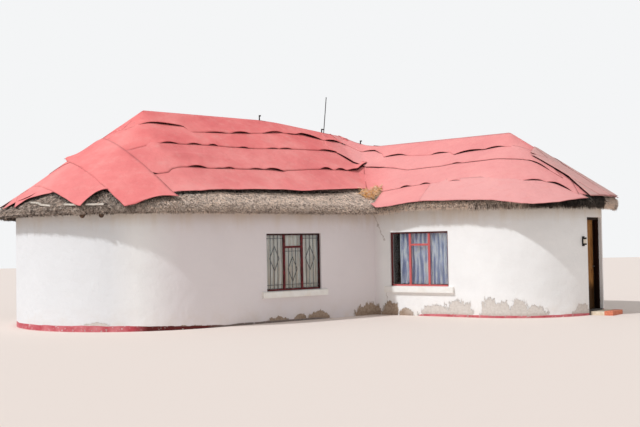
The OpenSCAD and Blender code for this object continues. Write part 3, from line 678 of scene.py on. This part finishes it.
def belt(bm, flat, upper, lower, gaps=(), over=0, tint=0, seed=0, rise=0, creases=(), tight=100):
    """Lays one strip of belting between two lines of (x, y) places on an unrolled slope. A
    number for the upper line is the strip's width in metres. Each gap (x from, x to, height) is
    a stretch where the lower edge has come up; rise lifts all of it. A crease (line, height,
    reach) is a ridge or a lifted corner. Tint is a number, or a pair: at the first end, and a
    little way along. Past the x named tight, the strip lies close on what is under it."""
    if not isinstance(upper, list):
        strip_w = upper
        upper = [(x, max(y - strip_w, 0)) for x, y in lower]
    wide = max(spaced(upper, 1)[1], spaced(lower, 1)[1])
    deep = max(math.dist(upper[0], lower[0]), math.dist(upper[-1], lower[-1]))
    nx, ny = max(3, round(wide / CELL)), max(3, round(deep / CELL))
    tops, bottoms = spaced(upper, nx)[0], spaced(lower, nx)[0]
    ridges = [(spaced(line, 24)[0], height, reached) for line, height, reached in creases]
    first, last = tint if isinstance(tint, tuple) else (tint, tint)
    edge_layer, tint_layer = bm.verts.layers.float["edge"], bm.verts.layers.float["tint"]
    for v in bmesh.ops.create_grid(bm, x_segments=nx, y_segments=ny, size=0.5)["verts"]:
        u, w = v.co.x + 0.5, v.co.y + 0.5
        top, bottom = tops[round(u * nx)], bottoms[round(u * nx)]
        spot = top + (bottom - top) * w
        length = math.dist(top, bottom)
        up = (1 - w) * length
        ragged = noise.noise((spot[0] * 2.3, seed * 3.1, 0.7))
        spot[1] += ragged * WANDER * (0.3 + w ** 3)
        close = bottom[0] > tight
        lift = over + TUCKED + (0 if close else (LAPPED - TUCKED) * w)
        fade = max(0, 1 - up / GAP_REACH) ** 2
        for x0, x1, height in gaps:
            share = (bottom[0] - x0) / (x1 - x0)
            if 0 < share < 1:
                lift += height * GAP_OPEN * math.sin(math.pi * share) ** 0.7 * fade
        lift += rise * max(0, 1 - up / RISE_REACH) ** 1.5
        for ridge, height, reached in ridges:
            away = np.hypot(*(ridge - spot).T).min()
            lift += height * max(0, 1 - away / reached) ** 2
        if not close:
            wave = noise.noise((spot[0] * 1.2, spot[1] * 1.2, seed * 1.7))
            lift += max(0, SWELL * wave + 0.005) * held(8 * (w - 0.35) * (1.1 - w))
        at = flat.plan(*spot)
        v.co = (at.x, at.y, thatch_top(at.x, at.y) + lift)
        side = min(u * wide, (1 - u) * wide, w * length, up)
        v[edge_layer] = max(0, 1 - side / RIM_W)
        v[tint_layer] = first + (last - first) * min(1, u * wide / TINT_RUN)


def new_belts():
    bm = bmesh.new()
    bm.verts.layers.float.new("edge")
    bm.verts.layers.float.new("tint")
    return bm


def finish_belts(name, bm, replaced):
    """Gives the strips their thickness, painted on top and at the edges and black below."""
    bmesh.ops.recalc_face_normals(bm, faces=bm.faces)
    bmesh.ops.reverse_faces(bm, faces=[f for f in bm.faces if f.normal.z < 0])
    thing = piece(name, bm, "roof_sheeting", BELTING, BELT_BACK, replaced=replaced)
    thing.data.shade_smooth()
    solid = thing.modifiers.new("thickness", "SOLIDIFY")
    solid.thickness = BELT_T
    solid.offset = 1
    solid.material_offset = 1


def turned(heading, places):
    """Places of a strip that lies at a heading about the ridge's end."""
    c, s = math.cos(heading), math.sin(heading)
    return [(x * c + y * s, y * c - x * s) for x, y in places]


def course(bm, flat, sectors, k, y0, y1, spare=0.03, **settings):
    """One straight strip across the k-th of a fold's sectors, from y0 down to y1."""
    half = flat.fold / (2 * sectors)
    wide = y1 * math.tan(half) + spare
    upper, lower = [turned(half * (2 * k + 1), [(-wide, y), (wide, y)]) for y in (y0, y1)]
    belt(bm, flat, upper, lower, **settings)


# Lower edges of the strips on the left front slope, from the ridge down
LEFT_TOP = [
    (1.35, 0.6), (0.45, 0.58), (0, 0.62), (-0.27, 0.65), (-0.74, 0.67), (-0.84, 0.92), (-1.4, 0.88),
    (-2.5, 0.79), (-3.1, 0.71), (-3.6, 0.6), (-3.9, 0.6), (-4.3, 0.5), (-4.7, 0.56), (-5.1, 0.57),
    (-5.6, 0.5), (-5.95, 0.42)]
LEFT_SECOND = [
    (1.35, 1.5), (0.75, 1.51), (0.2, 1.5), (-0.5, 1.49), (-1.2, 1.49), (-2, 1.51), (-2.7, 1.47),
    (-3.4, 1.4), (-4, 1.35), (-4.5, 1.25), (-5, 1.2), (-5.45, 1.25)]
LEFT_THIRD = [
    (1.35, 2.56), (1.1, 2.58), (0.89, 2.66), (0.6, 2.65), (0.45, 2.52), (0.17, 2.48), (-0.6, 2.49),
    (-1.3, 2.47), (-1.94, 2.46), (-2.43, 2.51), (-2.65, 2.44), (-3.5, 2.34), (-4.05, 2.28), (-4.31, 2.24),
    (-4.76, 2.2), (-5.02, 2.14), (-5.32, 2), (-5.48, 1.95)]
LEFT_LOWEST = [
    (1.4, 3.36), (0.95, 3.4), (0.26, 3.5), (-0.74, 3.48), (-1.8, 3.47), (-2.39, 3.49), (-2.98, 3.46),
    (-3.31, 3.42), (-3.65, 3.36), (-3.97, 3.31), (-4.58, 3.13)]
bm = new_belts()
belt(
    bm, left_front, [(1.4, 2.3), (0.5, 2.33), (-2.6, 2.3), (-4.2, 2.1), (-5.5, 1.75)], LEFT_LOWEST,
    rise=0.03, gaps=[(-4.65, 0.85, 0.06), (-4.3, -2.6, 0.02)], tint=0.2, seed=1)
belt(
    bm, left_front, 1.14, LEFT_THIRD, tint=0.15, seed=2, gaps=[(0.85, 1.15, 0.04),
    (-0.42, 0.05, 0.045), (-0.9, -0.6, 0.015), (-1.15, -0.85, 0.03), (-1.95, -1.55, 0.025),
    (-2.5, -1.98, 0.05), (-4.1, -3.7, 0.05), (-4.6, -4.2, 0.045), (-5.6, -4.6, 0.075)],
    creases=[([(0.37, 1.56), (0.39, 1.8), (0.18, 1.97), (-0.24, 1.98), (-0.75, 2)], 0.05, 0.22)])
belt(
    bm, left_front, 1.1, LEFT_SECOND, seed=3, tight=0.4,
    gaps=[(-0.2, 0.24, 0.03), (-0.8, -0.42, 0.03), (-1.25, -0.98, 0.035), (-2.1, -1.8, 0.025),
    (-3, -2.62, 0.022), (-3.45, -3, 0.028), (-5.1, -4.35, 0.04)])
belt(
    bm, left_front, 0.95, LEFT_TOP, tint=(0.1, 0), seed=4, tight=0.35,
    gaps=[(-0.78, 0.3, 0.04), (-1.85, -1.2, 0.026), (-2.55, -1.95, 0.045), (-3.65, -2.95, 0.04),
    (-4.1, -3.75, 0.02), (-4.95, -4.05, 0.06), (-5.6, -4.98, 0.055)])
finish_belts("left_front_strips", bm, "left_front_sheets")

# Left hip: strips laid down it, the last one turned, over courses that reach round
HIP_STRIPS = [
    ([(2.5, 0.5), (1.9, 0.8)],
     [(3.47, 0.72), (3.56, 1.1), (3.66, 1.48), (3.35, 1.5), (3.13, 1.7), (2.8, 1.88)],
     [(2.95, 3.7, 0.03)], 0.022, 0.3, []),
    ([(1.85, 0.3), (3.05, 0.55)], [(1.93, 2.8), (2.28, 2.9), (2.68, 3.08)], [(1.96, 2.75, 0.085)],
     0.034, 0.2, []),
    ([(1.22, 0.35), (1.6, 0.15), (2.18, -0.08)], [(0.83, 3.68), (1.95, 3.57)],
     [(0.7, 1.7, 0.06)], 0.048, 0.1, [([(2.18, -0.08), (2.13, 0.1)], 0.11, 0.5)]),
]
bm = new_belts()
for i, (y0, y1) in enumerate(((0.02, 0.9), (0.8, 1.8), (1.7, 2.6), (2.45, 3.05))):
    for k in range(4):
        course(bm, left_front, 4, k, y0, y1, over=UNDER, tight=-100, seed=30 + 4 * i + k)
for i, (upper, lower, gaps, over, tint, creases) in enumerate(HIP_STRIPS):
    belt(bm, left_front, upper, lower, gaps, over, tint, 31 + i, creases=creases)
    belt(bm, left_rear, upper, lower, gaps, over - 0.004, tint, 51 + i)
belt(
    bm, left_front, [(2.6, 0.66), (2.3, -0.35)], [(3.93, 0.14), (3.86, -0.4), (3.6, -0.95)], over=0.03,
    tint=0.5, seed=60, rise=0.03)
finish_belts("left_hip_strips", bm, "left_end_sheets")

# Left back slope and the round slope behind the crossing
BACK_EDGES, BACK_W, BACK_RISE = [0.78, 1.5, 2.42, 3.43], 1.08, 0.05
BACK_GAPS = [[(-4.9, -4.1, 0.045), (-2.4, -1.8, 0.03)], [(-3.6, -3, 0.03), (-1.2, -0.6, 0.03)],
             [(-5.2, -4.6, 0.05), (-2.9, -2.2, 0.04)], [(-4.5, -2.5, 0.02)]]
bm = new_belts()
for i in (3, 2, 1, 0):
    y = BACK_EDGES[i]
    lower = [(0.9, y), (-1.5, y + 0.03), (-3.2, y - 0.03), (-4.8, y + 0.02), (-5.95, y)]
    belt(bm, left_rear, BACK_W if i else 0.9, lower, BACK_GAPS[i], tint=0.1 * i, seed=60 + i,
         rise=BACK_RISE if i == 3 else 0)
finish_belts("left_back_strips", bm, "left_back_sheets")

bm = new_belts()
for k in range(4):
    for i in (3, 2, 1, 0):
        y = BACK_EDGES[i]
        course(bm, back_round, 4, k, y - BACK_W if i else 0, y, 0.06,
               over=0.011 * (k % 2) + 0.008, tint=0.2 * ((k + i) % 2), seed=80 + 5 * k + i,
               rise=BACK_RISE if i == 3 else 0)
finish_belts("back_round_strips", bm, "back_round_sheets")

# Right front slope: the strips run straight on past the ridge's end, over the hip
RIGHT_TOP = [
    (-5.9, 0.45), (-4.7, 0.38), (-4, 0.45), (-3.62, 0.34), (-3.35, 0.45), (-3.2, 0.66), (-2.73, 0.64),
    (-2.3, 0.72), (-1.82, 0.78), (-1.3, 0.74), (-1.12, 0.9), (-0.86, 0.84), (-0.3, 0.76), (0.1, 0.69),
    (0.55, 0.62), (0.9, 0.55)]
RIGHT_SECOND = [
    (-4.5, 1.5), (-4.03, 1.36), (-3.73, 1.26), (-3.53, 1.2), (-2.93, 1.17), (-2.55, 1.25), (-2.16, 1.4),
    (-1.37, 1.4), (-0.98, 1.33), (-0.34, 1.29), (0.39, 1.22), (0.83, 1.08), (1.1, 1.12), (1.38, 1.2),
    (1.7, 1.3)]
RIGHT_THIRD = [
    (-2.86, 2.45), (-2.6, 2.32), (-2.43, 2.27), (-1.73, 2.22), (-0.67, 2.12), (0.51, 2.12), (1.1, 1.98),
    (1.34, 1.84), (1.67, 1.76), (1.97, 1.78), (2.23, 1.83)]
RIGHT_WEST = [(-2.38, 3.06), (-2.12, 3.09), (-1.81, 3.03), (-1.51, 3), (-1.05, 2.97)]
RIGHT_EAST = [
    (-1.15, 2.98), (-0.63, 2.99), (0.35, 3), (0.9, 2.98), (1.25, 2.95), (1.5, 2.95), (1.7, 2.82),
    (1.86, 2.62), (1.95, 2.5)]
bm = new_belts()
belt(
    bm, right_front, [(-2.5, 1.9), (-1.95, 2), (-1.15, 2)], RIGHT_WEST, [(-2.6, -1.9, 0.02)],
    tint=0.7, seed=100, rise=0.02)
belt(
    bm, right_front, [(-1.22, 2), (0.5, 2), (1.2, 1.8), (1.7, 1.6), (2.4, 1.72)], RIGHT_EAST,
    [(1.3, 1.93, 0.03)], over=0.01, tint=1, seed=101, rise=0.02)
belt(
    bm, right_front, [(-3.62, 1), (-2.5, 1.05), (-1.37, 1.2), (0.4, 1.1), (1, 0.95), (1.9, 1.2)],
    RIGHT_THIRD, [(-1.98, -1.7, 0.035), (-1.45, -1.2, 0.03), (-0.72, -0.45, 0.02), (1, 1.42, 0.035),
    (1.45, 2.05, 0.05)], tint=(0.3, 0.75), seed=102)
belt(
    bm, right_front, [(-5, 0.85), (-4.4, 0.3), (-3.6, 0.25), (-2.5, 0.55), (-0.34, 0.7), (0.39, 0.55),
    (0.9, 0.5), (1.1, 0.65)], RIGHT_SECOND, [(-4.25, -3.5, 0.04), (-3.5, -2.9, 0.02), (-1, -0.75, 0.02),
    (0.8, 1.35, 0.025)], over=0.008, tint=(0.1, 0.75), seed=103)
belt(
    bm, right_front, 0.9, RIGHT_TOP, [(-3.95, -3.4, 0.03), (-3.2, -2.5, 0.035),
    (-1.8, -1.35, 0.035), (-1.15, -0.35, 0.045), (-0.4, 0.1, 0.035)], over=0.006, tint=(0.1, 0.6),
    seed=104, tight=0.25)
finish_belts("right_front_strips", bm, "right_front_sheets")

# Right hip: a layer of courses, and turned strips over it
RIGHT_EDGES, RIGHT_W = [0.72, 1.35, 2.1, 2.76], 0.95
bm = new_belts()
for i in (3, 2, 1, 0):
    y = RIGHT_EDGES[i]
    for k in range(5):
        course(bm, right_front, 5, k, y - RIGHT_W if i else 0, y, over=UNDER, tint=0.6,
               tight=-100, seed=130 + 5 * k + i)
END_STRIPS = [([(0.7, 0.22), (1, -0.2)], [(2.44, 1.66), (2.6, 1.4), (2.84, 0.9)], 0.05),
              ([(1.5, 0.4), (1.1, -0.3)], [(2.8, 0.95), (2.9, 0.62), (2.93, 0.2)], 0.07)]
# The end strips' tints past 1 grey their paint: faded, with painted shade as they turn away
for i, (upper, lower, over) in enumerate(END_STRIPS):
    belt(bm, right_front, upper, lower, (), over, 1.4, 150 + i)
    belt(bm, right_rear, upper, lower, (), over - 0.01, 1.3, 155 + i)
finish_belts("right_hip_strips", bm, "right_end_sheets")

bm = new_belts()
for i in (3, 2, 1, 0):
    low = RIGHT_EDGES[i] + (0.2 if i == 3 else 0)
    lower = [(1.3 if i < 3 else 0.9, low - 0.1), (0.2, low), (-1.8, low + 0.02), (-3.4, low - 0.03),
             (-5.3 + 0.1 * i, low)]
    belt(bm, right_rear, RIGHT_W, lower,
         [(-3 + 0.5 * i, -2.3 + 0.5 * i, 0.04), (-0.9, -0.4, 0.03)], over=0.008,
         tint=0.4 + 0.15 * (i % 2), seed=160 + i, rise=0.02 if i == 3 else 0)
finish_belts("right_back_strips", bm, "right_back_sheets")


# Thatch stalks, scattered over the eaves as one joined mesh for each slope

def stalk_shape():
    """One pointed stalk, 1 m long along z, as corners and triangles."""
    bm = bmesh.new()
    bmesh.ops.create_cone(bm, cap_ends=True, cap_tris=True, segments=3, radius1=0.65, radius2=0,
                          depth=1)
    bmesh.ops.remove_doubles(bm, verts=bm.verts, dist=0.001)
    bmesh.ops.triangulate(bm, faces=bm.faces)
    co = np.array([v.co for v in bm.verts])
    tri = np.array([[v.index for v in f.verts] for f in bm.faces])
    bm.free()
    return co, tri


STALK_CO, STALK_TRI = stalk_shape()
STALK_LEN, STALK_W = 0.085, 0.014
STALKS_PER_M2 = 2500


def joined(name, matrices, tints):
    """One mesh of many stalks."""
    matrices = np.array(matrices)
    n, m = len(matrices), len(STALK_CO)
    moved = np.einsum("nij,mj->nmi", matrices[:, :3, :3], STALK_CO) + matrices[:, None, :3, 3]
    faces = (STALK_TRI[None] + (np.arange(n) * m)[:, None, None]).reshape(-1, 3)
    mesh = bpy.data.meshes.new(name)
    mesh.from_pydata(moved.reshape(-1, 3).tolist(), [], faces.tolist())
    tint = mesh.attributes.new("tint", "FLOAT", "POINT")
    tint.data.foreach_set("value", np.repeat(tints, m).astype(np.float32))
    piece(name, mesh, "thatch_grass", STALKS)


def face_centre(mesh, face):
    return sum((mesh.vertices[i].co for i in face.vertices), Vector()) / 3


def sample_faces(mesh, faces, count, rng):
    """Random places on some triangles of a mesh, with their normals."""
    areas = np.cumsum([f.area for f in faces])
    picks = np.searchsorted(areas, rng.random(count) * areas[-1])
    found = []
    for i, (a, b) in zip(picks, rng.random((count, 2))):
        face = faces[min(i, len(faces) - 1)]
        p, q, r = [mesh.vertices[k].co for k in face.vertices]
        if a + b > 1:
            a, b = 1 - a, 1 - b
        found.append((p + (q - p) * a + (r - p) * b, face.normal.copy()))
    return found


# How pale the stalks of each slope are, from 0 to 1, and by how much they differ
STALK_TINT = {"left_end": 0.48, "left_front": 0.95, "left_back": 0.75, "back_round": 0.75,
              "right_front": 1.22, "right_end": 0.9, "right_back": 0.75}
TINT_SPREAD = 0.29
DARKEST, PALEST = 0.03, 0.93
# The left end's stalks grow paler towards the front slope, between these x
PALER_BY, PALER_FROM, PALER_TO = 0.42, -4.5, -3.9
# Stalks stand in clumps that differ in shade
CLUMP_SIZE, CLUMP_DEPTH = 0.06, 0.55
TIP_ANGLE = math.radians(8)
HOLLOW, HOLLOW_SHADE = Vector(HOLLOW_AT), 0.93


def stalk_tint(slope, p, n, rng):
    """Tone of one stalk: painted shade below and in the hollow, straw at the far tip."""
    tint = rng.normal(STALK_TINT[slope], TINT_SPREAD)
    tint += CLUMP_DEPTH * noise.noise(p / CLUMP_SIZE)
    # Painted shade: stalks that face down are darker
    if n.z < 0:
        tint -= 0.12
    if n.z < -0.35:
        tint -= 0.3
    if slope == "left_end" and p.y < 0:
        tint += PALER_BY * held((p.x - PALER_FROM) / (PALER_TO - PALER_FROM))
    if slope in ("right_end", "right_front"):
        # Painted shade: stalks in the hollow under the lifted sheets are darkened
        away = (p - HOLLOW).length
        tint *= 1 - HOLLOW_SHADE * held((HOLLOW_TO - away) / (HOLLOW_TO - HOLLOW_FROM))
        local = Vector((p.x, p.y)) - RIGHT_END
        if abs(math.atan2(local.y, local.x) + WING_ANGLE) < TIP_ANGLE:
            tint = rng.normal(0.86, 0.1)
    return min(PALEST, max(DARKEST, tint))


def stalk_at(p, lean, size, wide):
    """Matrix of a stalk that stands out of p along lean."""
    m = np.eye(4)
    turn = lean.to_track_quat("Z", "Y").to_matrix()
    m[:3, :3] = np.array(turn @ Matrix.Diagonal((wide, wide, size)))
    m[:3, 3] = p + lean.normalized() * size * 0.18
    return m


# Close under the strips there are no stalks, and a little lower they are black with painted shade
COVER = surface_of(thing.data for thing in bpy.data.objects if thing.name.endswith("_strips"))
TIGHT = 0.03
EDGE_DARK = 0.035
PAINTED_SHADE_TO = 0.09
# How far in from the eave stalks are scattered
LEFT_INNER, RIGHT_INNER = 0.55, 0.14
# The thatch has slipped at the right wing's front, and long stalks hang under its rim: the
# share of places that have one, how many, their lengths, and how much paler they are
HANGING = {"right_front": (0.5, 1, 0.07, 0.15, 0.15), "right_end": (1, 2, 0.09, 0.19, 0)}
HANG_FRONT, HANG_REACH = -3.4, 0.12
for index, slope in enumerate(SLOPES):
    rng = np.random.default_rng(200 + index)
    inner = RIGHT_INNER if slope.startswith("right") else LEFT_INNER
    mesh = nodes[slope + "_thatch"].data
    faces = [f for f in mesh.polygons if f.normal.z > -0.9 and reach(face_centre(mesh, f)) < inner]
    area = sum(f.area for f in faces)
    found = sample_faces(mesh, [f for f in faces if f.area > 1e-7], int(area * STALKS_PER_M2), rng)
    matrices, tints = [], []
    for p, n in found:
        if reach(p) > inner + 0.05:
            continue
        outward = Vector((n.x, n.y, 0)).normalized()
        lean = outward * 0.8 + Vector((0, 0, -0.5)) + n * 0.4 + Vector(rng.normal(0, 0.32, 3))
        size = STALK_LEN * rng.uniform(0.45, 1.25)
        shade = stalk_tint(slope, p, n, rng)
        # Grass close under the sheeting gets painted shade: its stalks are short and black
        roof = COVER.ray_cast(p - outward * EDGE_DARK, UP)[3] if n.z > -0.2 else None
        if roof is not None and roof < PAINTED_SHADE_TO:
            if roof < TIGHT:
                continue
            size, shade = min(size, 0.7 * roof), 0.04 * rng.random()
        matrices.append(stalk_at(p, lean, size, STALK_W * rng.uniform(0.5, 1.3)))
        tints.append(shade)
    if slope in HANGING:
        share, many, short, long, paler = HANGING[slope]
        rim = [(p, n) for p, n in found if n.z < -0.05 and reach(p) < HANG_REACH]
        for p, n in rim * many:
            if p.y > HANG_FRONT or rng.random() > share:
                continue
            lean = DOWN + Vector(rng.normal(0, 0.2, 3))
            matrices.append(stalk_at(p, lean, rng.uniform(short, long), STALK_W))
            tints.append(min(PALEST, stalk_tint(slope, p, n, rng) + paler))
    joined(slope + "_stalks", matrices, tints)

# A tuft of fresh straw pushed into the valley
rng = np.random.default_rng(300)
TUFT_LINE = spaced([(0.38, -3.2), (0.48, -3.08), (0.6, -2.98), (0.72, -2.86)], 60)[0]
TUFT_STALKS = 700
matrices = []
for k in range(TUFT_STALKS):
    x, y = TUFT_LINE[rng.integers(0, 61)] + rng.normal(0, 0.06, 2)
    p = Vector((x, y, thatch_top(x, y) + rng.uniform(0, 0.09)))
    lean = Vector((rng.normal(0.1, 0.5), rng.normal(-0.6, 0.4), rng.normal(-0.15, 0.3)))
    matrices.append(stalk_at(p, lean, rng.uniform(0.09, 0.22), rng.uniform(0.01, 0.018)))
joined("valley_straw", matrices, rng.uniform(0.94, 1, TUFT_STALKS))


def bar(bm, a, b, wide, thick=None):
    """A bar between two places: square, or flat if it has a thickness."""
    a, b = Vector(a), Vector(b)
    turn = (b - a).to_track_quat("Z", "X" if thick else "Y").to_matrix().to_4x4()
    size = Matrix.Diagonal((wide, thick or wide, (b - a).length + (thick or 0), 1))
    bmesh.ops.create_cube(bm, size=1, matrix=Matrix.Translation((a + b) / 2) @ turn @ size)


# Pale laths that hold the thatch down at the left hip: angle, and how far in from the eave
LATHS = [[(12, 0.12), (17, 0.09), (20, 0.03), (25, -0.01)], [(31, 0.01), (36, -0.01)],
         [(40, -0.01), (46.5, -0.01)]]
LATH_W, LATH_T, LATH_LIFT = 0.035, 0.012, 0.03
bm = bmesh.new()
for lath in LATHS:
    rim = [(math.radians(a), LEFT_R + OVERHANG - inward) for a, inward in lath]
    line = [wing_pt(LEFT, LEFT_LEN + r * math.cos(a), r * math.sin(a)) for a, r in rim]
    stops = [Vector((x, y, thatch_top(x, y) + LATH_LIFT)) for x, y in line]
    for a, b in zip(stops, stops[1:]):
        bar(bm, a, b, LATH_W, LATH_T)
piece("thatch_laths", bm, "plate_timber", LATH)

# Steel hooks that stick out of the ridge: the wing, the place along it, height and crook
HOOKS = [(LEFT, 2.62, 0.12, 0.04), (LEFT, 0.6, 0.09, 0.06), (RIGHT, 0.68, 0.09, 0.04)]
HOOK_W = 0.03
bm = bmesh.new()
for side, t, height, crook in HOOKS:
    foot = wing_pt(side, t, 0).to_3d()
    foot.z = thatch_top(foot.x, foot.y)
    head = foot + Vector((0, 0, height))
    bar(bm, foot, head, HOOK_W)
    bar(bm, head - Vector((HOOK_W / 2, 0, 0)), head + Vector((crook, 0, 0)), HOOK_W)
piece("ridge_hooks", bm, "mast_steel", MAST_STEEL)

# Windows: burglar bars, curtains and their wires

LIGHT_W = (WINDOW_W - 2 * FRAME_W - 2 * MULLION_W) / 3
BAR = 0.012
DIAMOND_W, DIAMOND_H = 0.1, 0.27
# Curtains hang in this plane of the opening, on a wire under its head
CURTAIN_Y = -FRAME_DEPTH - CURTAIN_GAP - CURTAIN_T / 2
WIRE_Z, WIRE_T, HEM_Z = WINDOW_H - 0.02, 0.006, 0.05
CURTAIN_TO = 1.49
FOLD_DEPTH = 0.022


def place_in_window(bm, side, face):
    """Moves a mesh from the opening's low left corner, at the frame's outer plane, to its wall."""
    origin = Vector((WINDOW_T[side] - WINDOW_W / 2, WING_R[side] - WINDOW_SETBACK, WINDOW_Z))
    bmesh.ops.transform(bm, matrix=wing_matrix(side, face) @ Matrix.Translation(origin), verts=bm.verts)
    bmesh.ops.recalc_face_normals(bm, faces=bm.faces)


def window_bars(name, side, face):
    """Upright bars and a diamond in each light, inside the glass."""
    bm = bmesh.new()
    y = -FRAME_DEPTH - BAR
    for index in range(3):
        x0 = FRAME_W + index * (LIGHT_W + MULLION_W)
        x1 = x0 + LIGHT_W
        mid = (x0 + x1) / 2
        top = WINDOW_H - FRAME_W if index != 1 else WINDOW_H - FANLIGHT_H - TRANSOM_W / 2
        centre = top / 2 + (0.1 if index != 1 else 0)
        for x in (mid - DIAMOND_W, mid, mid + DIAMOND_W):
            bar(bm, (x, y, FRAME_W), (x, y, top), BAR)
        for z in (FRAME_W + 0.09, top - 0.07):
            bar(bm, (x0, y + BAR / 2, z), (x1, y + BAR / 2, z), BAR)
        points = [(mid, centre + DIAMOND_H), (mid + DIAMOND_W * 1.25, centre),
                  (mid, centre - DIAMOND_H), (mid - DIAMOND_W * 1.25, centre)]
        for (xa, za), (xb, zb) in zip(points, points[1:] + points[:1]):
            bar(bm, (xa, y + BAR, za), (xb, y + BAR, zb), BAR)
    place_in_window(bm, side, face)
    piece(name, bm, "window_steel", BARS)


def curtain_wire(name, side, face):
    bm = bmesh.new()
    bar(bm, (0, CURTAIN_Y, WIRE_Z), (WINDOW_W, CURTAIN_Y, WIRE_Z), WIRE_T)
    place_in_window(bm, side, face)
    return piece(name, bm, "hinge_steel", DULL_STEEL)


def curtain(name, side, face, x0, folds, cloth, slot, replaced, mottle, seed):
    """A curtain whose folds deepen and wander towards the hem, and its flat size."""
    bm = bmesh.new()
    bmesh.ops.create_grid(bm, x_segments=folds * 10, y_segments=24, size=0.5)
    width, height = CURTAIN_TO - x0, WIRE_Z - HEM_Z
    fold = bm.verts.layers.float.new("fold")
    for v in bm.verts:
        u, w = v.co.x + 0.5, v.co.y + 0.5
        wander = noise.noise((u * 3, w * 1.3, seed)) * 1.1 * (1.15 - w)
        phase = (u * folds + wander) * 2 * math.pi
        swing = math.sin(phase) * FOLD_DEPTH * (0.55 + 0.45 * (1 - w))
        swing += noise.noise((u * folds * 1.7, w * 2, seed + 5)) * FOLD_DEPTH * 0.35
        patch = noise.noise((u * 34, w * 2.4, seed + 9))
        # The fold layer holds painted shade in the folds, and mottled streaks
        v[fold] = 0.5 + 0.38 * swing / FOLD_DEPTH + mottle * patch
        v.co = (x0 + width * u + math.cos(phase) * FOLD_DEPTH * 0.25, CURTAIN_Y + swing,
                HEM_Z + height * w)
    place_in_window(bm, side, face)
    thing = piece(name, bm, slot, cloth, replaced=replaced)
    thing.data.shade_smooth()
    return thing, (sum(f.area for f in thing.data.polygons) / height, height)


window_bars("left_front_window_bars", LEFT, 1)
window_bars("left_back_window_bars", LEFT, -1)
# Name, wire, wing and face, then left edge, folds, cloth, slot, replaced node, mottling, seed
CURTAINS = [
    ("left_window_curtain", "left_curtain_wire", (LEFT, 1),
     (0.02, 13, BEIGE_CLOTH, "beige_curtain", "left_curtains", 0.3, 3)),
    ("right_window_curtain", "right_curtain_wire", (RIGHT, 1),
     (0.19, 11, LACE_CLOTH, "lace_curtain", "right_curtains", 1.3, 8)),
    ("back_left_curtain", "back_left_curtain_wire", (LEFT, -1),
     (0.02, 13, BEIGE_CLOTH, "beige_curtain", "back_curtains", 0.3, 13)),
    ("back_right_curtain", "back_right_curtain_wire", (RIGHT, -1),
     (0.02, 13, BEIGE_CLOTH, "beige_curtain", "back_curtains", 0.3, 18)),
]
wires = [curtain_wire(wire, *wall) for name, wire, wall, made in CURTAINS]
for (name, wire, wall, made), held_on in zip(CURTAINS, wires):
    thing, size = curtain(name, *wall, *made)

# Studio

FLOOR_HALF = 60
bm = bmesh.new()
bmesh.ops.create_grid(bm, x_segments=1, y_segments=1, size=FLOOR_HALF)
placed("studio_floor", bm, Coat("studio_floor", 0.95).coated("#ECDDD3"))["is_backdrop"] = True
LIGHT_COLOUR = (0.93, 0.967, 1)
SKY_LIGHT = 0.54


def studio_light(name, azimuth, height, strength, spread):
    """A far light; azimuth 0 stands in front of the house, and -90 to its left."""
    data = bpy.data.lights.new(name, "SUN")
    data.energy = strength
    data.color = LIGHT_COLOUR
    data.angle = math.radians(spread)
    thing = bpy.data.objects.new(name, data)
    thing.rotation_euler = Euler((math.radians(90 - height), 0, math.radians(azimuth)))
    scene.collection.objects.link(thing)


studio_light("key", -58, 47, 2.2, 2)
studio_light("fill", 35, 25, 0.13, 60)
scene.view_settings.view_transform = "Standard"
world = bpy.data.worlds.new("studio")
world.use_nodes = True
scene.world = world
tree = world.node_tree
sky = tree.nodes["Background"]
feed(sky.inputs["Color"], "#F2F5F8")
feed(sky.inputs["Strength"], SKY_LIGHT)
# The backdrop looks white, also in glass and metal, and gives less light than it shows
backdrop = node(tree, "Background", {"Color": "#F4F5F6", "Strength": 1})
rays = tree.nodes.new("ShaderNodeLightPath").outputs
seen = larger(Value(rays["Is Camera Ray"]), larger(Value(rays["Is Glossy Ray"]),
                                                   Value(rays["Is Transmission Ray"])))
either = node(tree, "MixShader", {0: seen, 1: Value(sky.outputs[0]), 2: backdrop})
feed(tree.nodes["World Output"].inputs["Surface"], either)

# Camera at the photograph's place: fitted position, turn, pitch and roll
CAMERA_AT = Vector((-1.481, -25.653, 1.678))
CAMERA_YAW, CAMERA_PITCH, CAMERA_ROLL = -2.09, 1.817, -0.995
CAMERA_LENS, CAMERA_SENSOR = 54.04, 36
lens = bpy.data.cameras.new("camera")
lens.lens = CAMERA_LENS
lens.sensor_width = CAMERA_SENSOR
camera = bpy.data.objects.new("camera", lens)
scene.collection.objects.link(camera)
turn = Matrix.Rotation(math.radians(CAMERA_YAW), 4, "Z")
pitch = Matrix.Rotation(math.radians(90 + CAMERA_PITCH), 4, "X")
roll = Matrix.Rotation(math.radians(CAMERA_ROLL), 4, "Z")
camera.matrix_world = Matrix.Translation(CAMERA_AT) @ turn @ pitch @ roll
scene.camera = camera

low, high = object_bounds()
